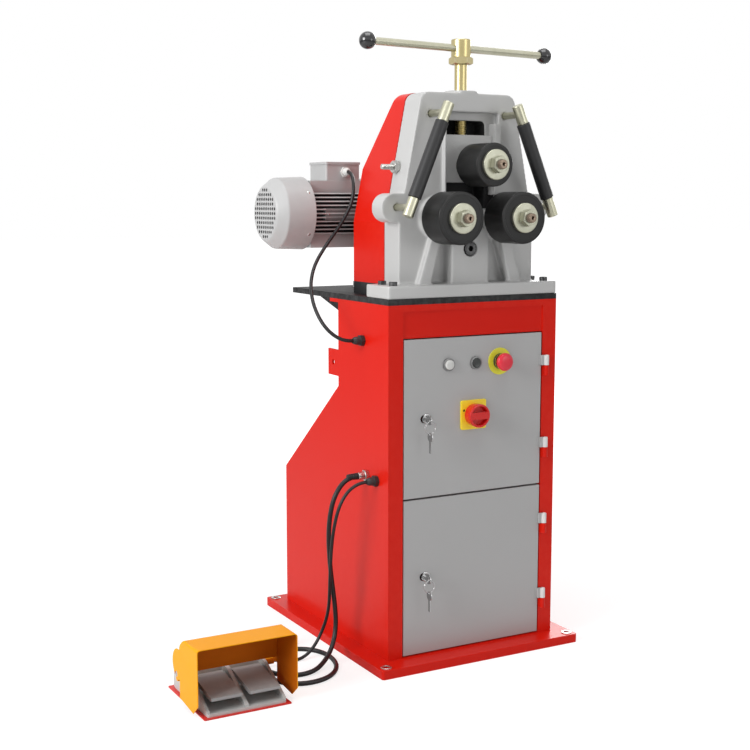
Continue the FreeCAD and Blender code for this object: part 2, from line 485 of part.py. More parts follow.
def lock_parts(z):
    """Cam lock: the housing stays with the door; plug, cam and keys turn together."""
    housing = tube(LOCK_FLANGE_R, LOCK_PLUG_R + RUN, V(LOCK_X, FRONT - LOCK_FLANGE_T, z),
                   Y_AXIS, LOCK_FLANGE_T)
    housing = fused(housing, tube(LOCK_R, LOCK_PLUG_R + RUN, V(LOCK_X, FRONT, z), Y_AXIS, DOOR_T))
    cam_y = FRONT + FRAME_DEPTH + CAM_GAP
    plug = cyl(LOCK_PLUG_R, V(LOCK_X, FRONT - LOCK_FLANGE_T - 0.5, z), Y_AXIS,
               cam_y + CAM_T - FRONT + LOCK_FLANGE_T + 0.5)
    cam = box(LOCK_X - CAM_LEN, LOCK_X + CAM_W / 2, cam_y, cam_y + CAM_T, z - CAM_W / 2, z + CAM_W / 2)
    key_y = FRONT - LOCK_FLANGE_T - KEY_SHANK
    shank = box(LOCK_X - KEY_T / 2, LOCK_X + KEY_T / 2, key_y, FRONT, z - 3.5, z + 3.5)
    bow = cyl(KEY_HEAD_R, V(LOCK_X - KEY_T / 2, key_y - KEY_HEAD_R + 2, z), X_AXIS, KEY_T)
    bow = bow.cut(cyl(KEY_HOLE_R, V(LOCK_X - KEY_T, key_y - KEY_HEAD_R - 2, z), X_AXIS, 2 * KEY_T))
    turning = fused(plug, cam, shank, bow)
    hang_y = key_y - KEY_HEAD_R - 2
    ring_z = z - KEY_HANG - KEY_RING_R
    ring = Part.makeTorus(KEY_RING_R, KEY_RING_WIRE, V(LOCK_X, hang_y, ring_z), Y_AXIS)
    hole_z = ring_z - KEY_RING_R - KEY_HANG
    spare_z = hole_z - KEY_HEAD_R + 4
    spare = cyl(KEY_HEAD_R, V(LOCK_X - KEY_T / 2, hang_y, spare_z), X_AXIS, KEY_T)
    spare = spare.fuse(box(LOCK_X - KEY_T / 2, LOCK_X + KEY_T / 2, hang_y - 3.5, hang_y + 3.5,
                           spare_z - KEY_HEAD_R - KEY_BLADE, spare_z - KEY_HEAD_R + 2))
    spare = spare.cut(cyl(KEY_HOLE_R, V(LOCK_X - KEY_T, hang_y, hole_z), X_AXIS, 2 * KEY_T))
    return housing, turning, ring, spare.removeSplitter()


def make_doors():
    split_low, split_high = RAIL_Z - DOOR_SPLIT_GAP / 2, RAIL_Z + DOOR_SPLIT_GAP / 2
    upper_holes = [(LAMP_X, CONTROL_Z, PANEL_HOLE_R), (BUTTON_X, CONTROL_Z, PANEL_HOLE_R),
                   (STOP_X, CONTROL_Z, PANEL_HOLE_R), (SWITCH_X, SWITCH_Z, SWITCH_STEM_R + 2),
                   (LOCK_X, LOCK_Z_UPPER, LOCK_R)]
    save("door_upper", door_pan(split_high, OPEN_TOP - DOOR_GAP, upper_holes))
    save("door_lower", door_pan(OPEN_BOTTOM + DOOR_GAP, split_low, [(LOCK_X, LOCK_Z_LOWER, LOCK_R)]))
    for name, knuckles, lock_z in (("upper", HINGE_Z_UPPER, LOCK_Z_UPPER),
                                   ("lower", HINGE_Z_LOWER, LOCK_Z_LOWER)):
        housing, turning, ring, spare = lock_parts(lock_z)
        save("door_fittings_" + name, *[hinge_side(z, True) for z in knuckles], housing)
        save("lock_key_" + name, turning, ring, spare)


# ---------------------------------------------------------------- controls
def make_controls():
    disc = cyl(STOP_DISC_R, V(STOP_X, FRONT - STOP_DISC_T, CONTROL_Z), Y_AXIS, STOP_DISC_T)
    collar = tube(STOP_NECK_R + 4, STOP_NECK_R - 1, V(STOP_X, FRONT - 8, CONTROL_Z), Y_AXIS, 8)
    thread = cyl(PANEL_HOLE_R, V(STOP_X, FRONT, CONTROL_Z), Y_AXIS, 12)
    stem_hole = cyl(6 + RUN, V(STOP_X, FRONT - 20, CONTROL_Z), Y_AXIS, 60)
    stop_plate = fused(disc, collar, thread).cut(stem_hole)
    half = SWITCH_PLATE / 2
    plate = rounded_box(SWITCH_X - half, SWITCH_X + half, FRONT - SWITCH_PLATE_T, FRONT,
                        SWITCH_Z - half, SWITCH_Z + half, 4, "Y")
    plate = plate.cut(cyl(SWITCH_STEM_R + RUN, V(SWITCH_X, FRONT - 10, SWITCH_Z), Y_AXIS, 20))
    padlock = cyl(3, V(SWITCH_X - half + 8, FRONT - 10, SWITCH_Z + 10), Y_AXIS, 20)
    save("switch_backplates", stop_plate, plate.cut(padlock))
    bezels = []
    for x, inner in ((LAMP_X, 0), (BUTTON_X, BUTTON_R + RUN)):
        bezel = cyl(BEZEL_R, V(x, FRONT - BEZEL_T, CONTROL_Z), Y_AXIS, BEZEL_T)
        thread = cyl(PANEL_HOLE_R, V(x, FRONT, CONTROL_Z), Y_AXIS, 12)
        whole = fused(bezel, thread)
        if inner:
            whole = whole.cut(cyl(inner, V(x, FRONT - BEZEL_T - 1, CONTROL_Z), Y_AXIS, BEZEL_T + 8))
        bezels.append(whole)
    lens = cyl(LAMP_R, V(LAMP_X, FRONT - LAMP_OUT, CONTROL_Z), Y_AXIS, LAMP_OUT - BEZEL_T)
    save("control_bezels", *bezels, lens)
    cap = cyl(BUTTON_R, V(BUTTON_X, FRONT - BUTTON_OUT, CONTROL_Z), Y_AXIS, BUTTON_OUT + 2)
    save("push_button", cap)
    neck = cyl(STOP_NECK_R - 1 - RUN, V(STOP_X, FRONT - STOP_OUT, CONTROL_Z), Y_AXIS, 7)
    stem = cyl(6, V(STOP_X, FRONT - STOP_OUT, CONTROL_Z), Y_AXIS, STOP_OUT + 10)
    dome = turned([(0, 0), (0, STOP_HEAD_R - 5), (3, STOP_HEAD_R - 1.5), (7, STOP_HEAD_R),
                   (STOP_HEAD_T, STOP_HEAD_R - 1), (STOP_HEAD_T, 0)],
                  V(STOP_X, FRONT - STOP_OUT - STOP_HEAD_T, CONTROL_Z), Y_AXIS)
    save("estop_head", fused(dome, neck, stem))
    grip_y = FRONT - SWITCH_PLATE_T - AIR - SWITCH_KNOB_T
    knob = cyl(SWITCH_KNOB_R, V(SWITCH_X, grip_y, SWITCH_Z), Y_AXIS, SWITCH_KNOB_T)
    pockets = cyl(SWITCH_POCKET_R, V(SWITCH_X, grip_y - 1, SWITCH_Z), Y_AXIS, SWITCH_POCKET_DEPTH + 1)
    grip = box(SWITCH_X - SWITCH_KNOB_R, SWITCH_X + SWITCH_KNOB_R, grip_y - 2,
               grip_y + SWITCH_POCKET_DEPTH + 1, SWITCH_Z - SWITCH_GRIP_W / 2,
               SWITCH_Z + SWITCH_GRIP_W / 2)
    knob = knob.cut(pockets.cut(grip))
    stem_y = grip_y + SWITCH_KNOB_T - EMBED
    stem = cyl(SWITCH_STEM_R, V(SWITCH_X, stem_y, SWITCH_Z), Y_AXIS, FRONT + 12 - stem_y)
    save("switch_knob", fused(knob, stem))
    blocks = []
    block_y = FRONT + 12
    for x, z, bore in ((LAMP_X, CONTROL_Z, 0), (BUTTON_X, CONTROL_Z, 0), (STOP_X, CONTROL_Z, 7),
                       (SWITCH_X, SWITCH_Z, 7)):
        wide = BLOCK_W / 2 + (8 if z == SWITCH_Z else 0)
        start = block_y if z == CONTROL_Z else FRONT + DOOR_SHEET
        block = box(x - wide, x + wide, start, block_y + BLOCK_D, z - wide, z + wide)
        if bore:
            block = block.cut(cyl(bore, V(x, start - 1, z), Y_AXIS, 20))
        blocks.append(block)
    save("contact_blocks", *blocks)


# ---------------------------------------------------------------- slab and head casting
def make_slab():
    """Machined slab, the riser under the gear cover and two gussets under the overhang."""
    back = FRONT + SLAB_D
    slab = box(-CAB_HALF, CAB_HALF, FRONT, back, CAB_TOP, SLAB_TOP)
    riser = box(-HEAD_HALF, HEAD_HALF, HEAD_REAR + AIR, FRONT + COVER_BACK, SLAB_TOP - EMBED,
                SLAB_TOP + RISER_T)
    lip_back = FRONT + CAB_DEPTH_TOP + LIP_DEPTH
    outline = [(FRONT + CAB_DEPTH_TOP + AIR, CAB_TOP - LIP_H - AIR),
               (lip_back + AIR, CAB_TOP - LIP_H - AIR), (lip_back + AIR, CAB_TOP + EMBED),
               (lip_back + 58, CAB_TOP + EMBED), (lip_back + 58, CAB_TOP - 2),
               (FRONT + CAB_DEPTH_TOP + AIR, CAB_TOP - GUSSET_DROP)]
    shape = fused(slab, riser)
    for x in (-CAB_HALF + 6, CAB_HALF - 6 - GUSSET_T):
        shape = shape.fuse(prism(outline, 0, "X", x, x + GUSSET_T))
    for x in (-HEAD_BOLT_X, HEAD_BOLT_X):
        for y in HEAD_BOLT_Y:
            shape = shape.cut(cyl(HEAD_BOLT_R, V(x, FRONT + y, CAB_TOP - 1), Z_AXIS, SLAB_T + 2))
    save("top_slab", shape.removeSplitter())


def head_outline(inset, shoulder_z, top, bottom, top_half):
    """Front outline shared by the casting and the gear cover behind it."""
    half = HEAD_HALF - inset
    points = [(-half, bottom), (half, bottom), (half, shoulder_z), (top_half - inset, top - inset),
              (-top_half + inset, top - inset), (-half, shoulder_z)]
    return points


def make_head_casting():
    flange = rounded_box(-CAB_HALF, CAB_HALF, FRONT, FRONT + FLANGE_D, SLAB_TOP, FLANGE_TOP, 4)
    outline = head_outline(0, HEAD_SHOULDER_Z, HEAD_TOP, SLAB_TOP + EMBED, HEAD_TOP_HALF)
    body = prism(outline, [0, 0, 30, HEAD_TOP_R, HEAD_TOP_R, 30], "Y", HEAD_FACE, HEAD_REAR)
    shape = flange.fuse(body)
    for side in (-1, 1):
        arm = rounded_box(min(side * 100, side * (EAR_X + EAR_R)), max(side * 100, side * (EAR_X + EAR_R)),
                          HEAD_FACE, HEAD_FACE + EAR_DEPTH, EAR_Z - EAR_R, EAR_Z + EAR_R,
                          EAR_R - 0.5, "Y")
        shape = shape.fuse(arm)
        boss = cyl(BOSS_R, V(side * ROLL_HALF_PITCH, HEAD_FACE - BOSS_PROUD, ROLL_Z), Y_AXIS,
                   BOSS_PROUD + EMBED)
        rib_top = ROLL_Z - 30
        rib = prism([(side * RIB_TOP_X, rib_top), (side * RIB_FOOT_X, SLAB_TOP + EMBED),
                     (side * (RIB_FOOT_X - RIB_FOOT_W), SLAB_TOP + EMBED),
                     (side * (RIB_TOP_X - RIB_TOP_W), rib_top)], 0, "Y",
                    HEAD_FACE - RIB_PROUD, HEAD_FACE + EMBED)
        shape = shape.fuse(boss).fuse(rib)
    column = box(-COLUMN_HALF, COLUMN_HALF, HEAD_FACE - COLUMN_PROUD, HEAD_FACE + EMBED,
                 SLAB_TOP + EMBED, ROLL_Z - 20)
    strip = box(-SLIDE_LEFT - GUIDE_STRIP_W, -SLIDE_LEFT, HEAD_FACE - GIB_PROUD, HEAD_FACE + EMBED,
                GIB_BOTTOM, WINDOW_TOP)
    top_boss = cyl(TOP_BOSS_R, V(0, SCREW_AXIS_Y, HEAD_TOP - TOP_BOSS_DOWN), Z_AXIS,
                   TOP_BOSS_DOWN + TOP_BOSS_UP)
    top_boss = top_boss.common(box(-60, 60, HEAD_FACE, HEAD_REAR, HEAD_TOP - 50, HEAD_TOP + 50))
    shape = shape.fuse(column).fuse(strip).fuse(top_boss)
    # pockets between column and ribs
    for side in (-1, 1):
        inner = COLUMN_HALF + POCKET_EDGE
        pocket_top = ROLL_Z - POCKET_TOP_DROP
        pocket = prism([(side * inner, pocket_top), (side * (RIB_TOP_X - RIB_TOP_W), pocket_top),
                        (side * (RIB_FOOT_X - RIB_FOOT_W - 2), FLANGE_TOP + 1),
                        (side * inner, FLANGE_TOP + 1)], 0, "Y",
                       HEAD_FACE - 1, HEAD_FACE + POCKET_DEPTH)
        shape = shape.cut(pocket)
    # slideway: wide shallow front slot and narrower deep core
    shape = shape.cut(rounded_box(-SLIDE_LEFT, SLIDE_RIGHT + GIB_W, HEAD_FACE - 30, SLIDE_MID_Y,
                                  SLIDE_BOTTOM, WINDOW_TOP, 3, "Y"))
    shape = shape.cut(rounded_box(-SLIDE_CORE_HALF, SLIDE_CORE_HALF, SLIDE_MID_Y - 1, SLIDE_REAR_Y,
                                  SLIDE_BOTTOM, SLIDE_TOP, WINDOW_R, "Y"))
    # bearing bores
    for side in (-1, 1):
        x = side * ROLL_HALF_PITCH
        front_y = HEAD_FACE - BOSS_PROUD
        shape = shape.cut(cyl(BORE_R, V(x, front_y - 1, ROLL_Z), Y_AXIS, 120))
        shape = shape.cut(cyl(BEARING_R, V(x, front_y - 1, ROLL_Z), Y_AXIS, BEARING_W + 1))
        shape = shape.cut(cyl(BEARING_R, V(x, HEAD_REAR - BEARING_W, ROLL_Z), Y_AXIS, BEARING_W + 1))
    column_y = HEAD_FACE - COLUMN_PROUD
    shape = shape.cut(cyl(DRIVE_R + DRIVE_GAP, V(0, column_y - 1, DRIVE_Z), Y_AXIS, 120))
    for y in (HEAD_FACE + 6, HEAD_REAR - BEARING_W):
        shape = shape.cut(cyl(DRIVE_BEARING_R, V(0, y, DRIVE_Z), Y_AXIS,
                              (BEARING_W if y < HEAD_REAR - 30 else BEARING_W + 1)))
    shape = shape.cut(cyl(SCREW_R + RUN, V(0, SCREW_AXIS_Y, SLIDE_TOP - 5), Z_AXIS, 90))
    for x, z in guide_ends():
        shape = shape.cut(cyl(GUIDE_STUD_R, V(x, HEAD_FACE - 1, z), Y_AXIS, GUIDE_STUD_DEEP + 1))
    for x in (-HEAD_BOLT_X, HEAD_BOLT_X):
        for y in HEAD_BOLT_Y:
            shape = shape.cut(cyl(HEAD_BOLT_R, V(x, FRONT + y, SLAB_TOP - 1), Z_AXIS, FLANGE_T + 2))
    root = side_bolt_root()
    shape = shape.cut(cyl(SIDE_BOLT_R, V(-root - SIDE_BOLT_OUT, FRONT + SIDE_BOLT_Y, SIDE_BOLT_Z),
                          X_AXIS, SIDE_BOLT_OUT + SIDE_BOLT_IN))
    save("head_casting", shape.removeSplitter())


def guide_ends():
    ends = ((GUIDE_TOP_X, GUIDE_TOP_Z), (GUIDE_LOW_X, GUIDE_LOW_Z))
    return [(side * x, z) for side in (-1, 1) for x, z in ends]


def side_bolt_root():
    """Half width of the casting at the height of the side bolt."""
    share = (SIDE_BOLT_Z - HEAD_SHOULDER_Z) / (HEAD_TOP - HEAD_SHOULDER_Z)
    return HEAD_HALF + (HEAD_TOP_HALF - HEAD_HALF) * share


def make_head_hardware():
    bolts = []
    for x in (-HEAD_BOLT_X, HEAD_BOLT_X):
        for y in HEAD_BOLT_Y:
            shank = cyl(HEAD_BOLT_R, V(x, FRONT + y, CAB_TOP + 1), Z_AXIS, FLANGE_TOP - CAB_TOP - 1)
            head = cyl(HEAD_BOLT_HEAD_R, V(x, FRONT + y, FLANGE_TOP), Z_AXIS, HEAD_BOLT_HEAD_T)
            socket = hexagon(8, V(x, FRONT + y, FLANGE_TOP + HEAD_BOLT_HEAD_T - 4), Z_AXIS, 5)
            bolts.append(fused(shank, head).cut(socket))
    save("head_bolts", *bolts)
    gib = box(SLIDE_RIGHT + AIR, SLIDE_RIGHT + GIB_W, HEAD_FACE - GIB_PROUD, SLIDE_MID_Y,
              GIB_BOTTOM, GIB_TOP)
    save("gib_strip", gib)
    root = side_bolt_root()
    start = -root + 4
    thread = cyl(SIDE_BOLT_R, V(start - SIDE_BOLT_OUT - 4, FRONT + SIDE_BOLT_Y, SIDE_BOLT_Z), X_AXIS,
                 SIDE_BOLT_OUT + SIDE_BOLT_IN - 8)
    nut_x = -root - SIDE_NUT_T - SIDE_NUT_OFF
    nut = hexagon(SIDE_NUT_AF, V(nut_x, FRONT + SIDE_BOLT_Y, SIDE_BOLT_Z), X_AXIS, SIDE_NUT_T)
    nut = nut.cut(cyl(SIDE_BOLT_R, V(nut_x - 1, FRONT + SIDE_BOLT_Y, SIDE_BOLT_Z), X_AXIS,
                      SIDE_NUT_T + 2))
    save("side_lock_bolt", thread, nut)
    rings = []
    for side in (-1, 1):
        x = side * ROLL_HALF_PITCH
        for y in (HEAD_FACE - BOSS_PROUD, HEAD_REAR - BEARING_W):
            rings.append(tube(BEARING_R, ROLL_BORE_R + RUN, V(x, y, ROLL_Z), Y_AXIS, BEARING_W))
    for y in (HEAD_FACE + 6, HEAD_REAR - BEARING_W):
        rings.append(tube(DRIVE_BEARING_R, DRIVE_R + RUN, V(0, y, DRIVE_Z), Y_AXIS, BEARING_W))
    save("shaft_bearings", *rings)


def make_gear_cover():
    """Sheet cover behind the casting; its back leans forward above the gears."""
    def solid(inset, front_y, bottom):
        outline = head_outline(inset, HEAD_SHOULDER_Z, COVER_TOP, bottom, HEAD_TOP_HALF)
        top_r = HEAD_TOP_R - inset
        block = prism(outline, [0, 0, 30, top_r, top_r, 30], "Y", front_y, FRONT + COVER_BACK - inset)
        side = [(front_y, bottom), (FRONT + COVER_BACK - inset, bottom),
                (FRONT + COVER_BACK - inset, COVER_SLOPE_Z - inset * 0.4),
                (FRONT + COVER_TOP_BACK - inset, COVER_TOP - inset), (front_y, COVER_TOP - inset)]
        return block.common(prism(side, 0, "X", -HEAD_HALF - 1, HEAD_HALF + 1))
    bottom = SLAB_TOP + RISER_T
    shell = solid(0, HEAD_REAR, bottom).cut(solid(COVER_T, HEAD_REAR - 1, bottom - 1))
    hole = cyl(COVER_SHAFT_HOLE_R, V(0, FRONT + COVER_BACK - COVER_T - 5, DRIVE_Z), Y_AXIS, 20)
    save("gear_cover", shell.cut(hole))


# ---------------------------------------------------------------- rolls and shafts
def make_roll(name, x, z, y_shift, radius, length, shaft_back, driven):
    y0 = ROLL_Y0 + y_shift
    y1 = y0 + length
    c = ROLL_CHAMFER
    roller = turned([(0, ROLL_BORE_R), (0, radius - c), (c, radius), (length - c, radius),
                     (length, radius - c), (length, ROLL_BORE_R)], V(x, y0, z), Y_AXIS)
    save("roller_" + name, roller)
    front = y0 - WASHER_T - NUT_T - THREAD_OUT
    shaft = turned([(0, 0), (0, THREAD_R - 1.5), (1.5, THREAD_R), (y0 - 2 - front, THREAD_R),
                    (y0 - 2 - front, ROLL_BORE_R), (y1 - front, ROLL_BORE_R), (y1 - front, COLLAR_R),
                    (y1 - front + COLLAR_LEN - AIR, COLLAR_R),
                    (y1 - front + COLLAR_LEN - AIR, ROLL_BORE_R),
                    (shaft_back - front, ROLL_BORE_R), (shaft_back - front, 0)], V(x, front, z), Y_AXIS)
    shaft = shaft.cut(cyl(CENTRE_DRILL_R, V(x, front - 1, z), Y_AXIS, CENTRE_DRILL_DEPTH + 1))
    save("shaft_" + name, shaft)
    washer = turned([(0, THREAD_R), (0, WASHER_R - 1.5), (1.5, WASHER_R), (WASHER_T, WASHER_R),
                     (WASHER_T, ROLL_BORE_R), (WASHER_T - 2, ROLL_BORE_R), (WASHER_T - 2, THREAD_R)],
                    V(x, y0 - WASHER_T, z), Y_AXIS)
    nut = hexagon(NUT_AF, V(x, y0 - WASHER_T - NUT_T, z), Y_AXIS, NUT_T)
    nut = nut.cut(cyl(THREAD_R, V(x, y0 - WASHER_T - NUT_T - 1, z), Y_AXIS, NUT_T + 2))
    nut = nut.common(turned([(0, 0), (0, NUT_AF / 2), (2.5, NUT_AF / 2 + 2.8), (NUT_T, NUT_AF / 2 + 2.8),
                             (NUT_T, 0)], V(x, y0 - WASHER_T - NUT_T, z), Y_AXIS))
    save("roll_nut_" + name, washer, nut)
    if driven:
        side = 1 if x > 0 else -1
        wheel = gear(GEAR_TEETH, x, z, GEAR_Y0, GEAR_Y1, driven_phase(side), ROLL_BORE_R)
        save("driven_gear_" + name, wheel)


def driven_phase(side):
    """Angle of a tooth centre of a driven gear when the pinion has a tooth straight up."""
    toward = math.degrees(math.atan2(ROLL_Z - DRIVE_Z, side * ROLL_HALF_PITCH))
    pinion_step, gear_step = 360.0 / PINION_TEETH, 360.0 / GEAR_TEETH
    past_tooth = (90.0 - toward) % pinion_step
    space_angle = toward + 180.0 - past_tooth * PINION_TEETH / GEAR_TEETH
    return space_angle + gear_step / 2


def make_rolls():
    tail = GEAR_Y1 + SHAFT_TAIL
    make_roll("lower_left", -ROLL_HALF_PITCH, ROLL_Z, 0, ROLL_R, ROLL_LEN, tail, True)
    make_roll("lower_right", ROLL_HALF_PITCH, ROLL_Z, 0, ROLL_R, ROLL_LEN, tail, True)
    make_roll("upper", 0, UPPER_Z, -UPPER_FORWARD, UPPER_ROLL_R, UPPER_ROLL_LEN, SLIDE_REAR_Y - 1,
              False)


def make_carriage():
    plate = box(-SLIDE_LEFT + AIR, SLIDE_RIGHT - AIR, HEAD_FACE + AIR, SLIDE_MID_Y - AIR,
                CARRIAGE_BOTTOM, CARRIAGE_TOP)
    core = rounded_box(-SLIDE_CORE_HALF + AIR, SLIDE_CORE_HALF - AIR, SLIDE_MID_Y - AIR - EMBED,
                       SLIDE_REAR_Y - AIR, CARRIAGE_BOTTOM, CARRIAGE_CORE_TOP, WINDOW_R, "Y")
    block = plate.fuse(core).removeSplitter()
    length = SLIDE_REAR_Y - HEAD_FACE
    block = block.cut(cyl(BORE_R, V(0, HEAD_FACE - 1, UPPER_Z), Y_AXIS, length + 2))
    seats = (HEAD_FACE + AIR, SLIDE_REAR_Y - AIR - BEARING_W)
    for y in seats:
        block = block.cut(cyl(BEARING_R, V(0, y - (1 if y == seats[0] else 0), UPPER_Z), Y_AXIS,
                              BEARING_W + 1))
    block = block.cut(cyl(SCREW_R + RUN, V(0, SCREW_AXIS_Y, SCREW_END - AIR), Z_AXIS, 60))
    save("carriage", block)
    rings = [tube(BEARING_R, ROLL_BORE_R + RUN, V(0, y, UPPER_Z), Y_AXIS, BEARING_W) for y in seats]
    save("carriage_bearings", *rings)


def ball_knob(centre, outward):
    """Ball turned about the bar's axis, with the blind bore that the bar's end fills."""
    bore_r = BAR_R + RUN
    bore_end, mouth = RUN - BALL_PAST_BAR, -math.sqrt(BALL_R ** 2 - bore_r ** 2)
    side = outward.cross(Z_AXIS).normalize()
    places = ((mouth, bore_r), (0, BALL_R), (BALL_R, 0), (bore_end, 0), (bore_end, bore_r))
    lip, crown, pole, inner, edge = (centre + outward * along + side * radius
                                     for along, radius in places)
    outline = [Part.Arc(lip, crown, pole).toShape(), Part.makeLine(pole, inner),
               Part.makeLine(inner, edge), Part.makeLine(edge, lip)]
    return Part.Face(Part.Wire(outline)).revolve(centre, outward, 360)


def make_screw_and_handle():
    screw = cyl(SCREW_R, V(0, SCREW_AXIS_Y, SCREW_END), Z_AXIS, SCREW_COLLAR_Z - SCREW_END + EMBED)
    collar = hexagon(SCREW_COLLAR_AF, V(0, SCREW_AXIS_Y, SCREW_COLLAR_Z), Z_AXIS, SCREW_COLLAR_T)
    hub = cyl(HUB_R, V(0, SCREW_AXIS_Y, SCREW_COLLAR_Z + SCREW_COLLAR_T - EMBED), Z_AXIS, HUB_H + EMBED)
    turn = FreeCAD.Rotation(Z_AXIS, -BAR_TURN)
    along = turn.multVec(X_AXIS)
    centre = V(0, SCREW_AXIS_Y, SCREW_COLLAR_Z + SCREW_COLLAR_T + HUB_H / 2)
    centre += along * BAR_SHIFT
    bar_hole = cyl(BAR_R, centre - along * (HUB_R + 5), along, 2 * HUB_R + 10)
    save("pressure_screw", fused(screw, collar, hub).cut(bar_hole))
    save("handle_bar", cyl(BAR_R, centre - along * BAR_HALF, along, 2 * BAR_HALF))
    balls = []
    for side in (-1, 1):
        balls.append(ball_knob(centre + along * side * (BAR_HALF + BALL_PAST_BAR), along * side))
    save("ball_knobs", *balls)


# ---------------------------------------------------------------- lateral guide bars
def make_guides():
    rods = []
    for side, name in ((-1, "left"), (1, "right")):
        top, low = V(side * GUIDE_TOP_X, GUIDE_Y, GUIDE_TOP_Z), V(side * GUIDE_LOW_X, GUIDE_Y, GUIDE_LOW_Z)
        along = (low - top).normalize()
        reach = (low - top).Length
        half = GUIDE_BLOCK_LEN / 2
        rod = cyl(GUIDE_ROD_R, top, along, reach)
        pieces = [rod]
        for end in (top, low):
            pieces.append(cyl(GUIDE_BLOCK_R, end - along * half, along, GUIDE_BLOCK_LEN))
        shape = fused(*pieces)
        studs = []
        for end in (top, low):
            shape = shape.cut(cyl(GUIDE_STUD_R, end, Y_AXIS, GUIDE_BLOCK_R + 5))
            studs.append(cyl(GUIDE_STUD_R, end, Y_AXIS, HEAD_FACE - GUIDE_Y + GUIDE_STUD_DEEP))
        rods.append(shape)
        rods.extend(studs)
        sleeve = tube(GUIDE_SLEEVE_R, GUIDE_ROD_R + RUN, top + along * (half + AIR), along,
                      reach - GUIDE_BLOCK_LEN - 2 * AIR)
        save("guide_sleeve_" + name, sleeve)
    save("guide_rods", *rods)


# ---------------------------------------------------------------- drive train
def make_drive():
    front = FRONT + DRIVE_FRONT
    back = MOTOR_Y + BOX_HUB_HALF + 8
    shaft = cyl(DRIVE_R, V(0, front, DRIVE_Z), Y_AXIS, back - front)
    socket = hexagon(DRIVE_SOCKET_AF, V(0, front - 1, DRIVE_Z), Y_AXIS, DRIVE_SOCKET_DEPTH + 1)
    pinion = gear(PINION_TEETH, 0, DRIVE_Z, GEAR_Y0 - 1, GEAR_Y1 + 1, 90.0, DRIVE_R - 3)
    save("drive_shaft", shaft.fuse(pinion).removeSplitter().cut(socket))
    points = []
    for k in range(WHEEL_TEETH):
        for share, radius in ((0.0, WHEEL_R - WHEEL_TOOTH), (0.30, WHEEL_R - WHEEL_TOOTH),
                              (0.48, WHEEL_R), (0.82, WHEEL_R)):
            angle = 2 * math.pi * (k + share) / WHEEL_TEETH
            points.append((radius * math.cos(angle), DRIVE_Z + radius * math.sin(angle)))
    wheel = prism(points, 0, "Y", MOTOR_Y - WHEEL_W / 2, MOTOR_Y + WHEEL_W / 2)
    wheel = wheel.cut(cyl(DRIVE_R, V(0, MOTOR_Y - 50, DRIVE_Z), Y_AXIS, 100))
    save("worm_wheel", wheel)


def make_gearbox():
    y0, y1 = MOTOR_Y - BOX_HALF_W, MOTOR_Y + BOX_HALF_W
    drum = cyl(BOX_DRUM_R, V(0, y0, DRIVE_Z), Y_AXIS, 2 * BOX_HALF_W)
    hubs = cyl(BOX_HUB_R, V(0, MOTOR_Y - BOX_HUB_HALF, DRIVE_Z), Y_AXIS, 2 * BOX_HUB_HALF)
    foot = rounded_box(-BOX_FOOT_HALF, BOX_FOOT_HALF, MOTOR_Y - BOX_HUB_HALF, MOTOR_Y + BOX_HUB_HALF,
                       SLAB_TOP, SLAB_TOP + BOX_FOOT_T, 8)
    web = box(-60, 60, y0, y1, SLAB_TOP + 1, DRIVE_Z)
    neck = box(-66, 66, y0, y1, DRIVE_Z, WORM_Z)
    worm_tube = cyl(BOX_TUBE_R, V(MOTOR_FLANGE_X, MOTOR_Y, WORM_Z), X_AXIS, BOX_RIGHT - MOTOR_FLANGE_X)
    flange = cyl(MOTOR_FLANGE_R, V(MOTOR_FLANGE_X, MOTOR_Y, WORM_Z), X_AXIS, 10)
    shape = fused(drum, hubs, foot, web, neck, worm_tube, flange)
    cavity = cyl(WHEEL_R + 4, V(0, MOTOR_Y - WHEEL_W / 2 - 3, DRIVE_Z), Y_AXIS, WHEEL_W + 6)
    bore = cyl(BOX_TUBE_BORE, V(MOTOR_FLANGE_X - 1, MOTOR_Y, WORM_Z), X_AXIS,
               BOX_RIGHT - 10 - MOTOR_FLANGE_X)
    shaft_bore = cyl(DRIVE_R + RUN, V(0, MOTOR_Y - 80, DRIVE_Z), Y_AXIS, 160)
    shape = cut_all(shape, cavity, bore, shaft_bore)
    bolts = []
    for x in (-74, 74):
        for y in (MOTOR_Y - 48, MOTOR_Y + 48):
            shape = shape.cut(cyl(5, V(x, y, SLAB_TOP - 1), Z_AXIS, BOX_FOOT_T + 2))
            bolts.append(fused(cyl(5, V(x, y, SLAB_TOP), Z_AXIS, BOX_FOOT_T + 1),
                               hexagon(16, V(x, y, SLAB_TOP + BOX_FOOT_T), Z_AXIS, 7)))
    save("gearbox_housing", shape, *bolts)


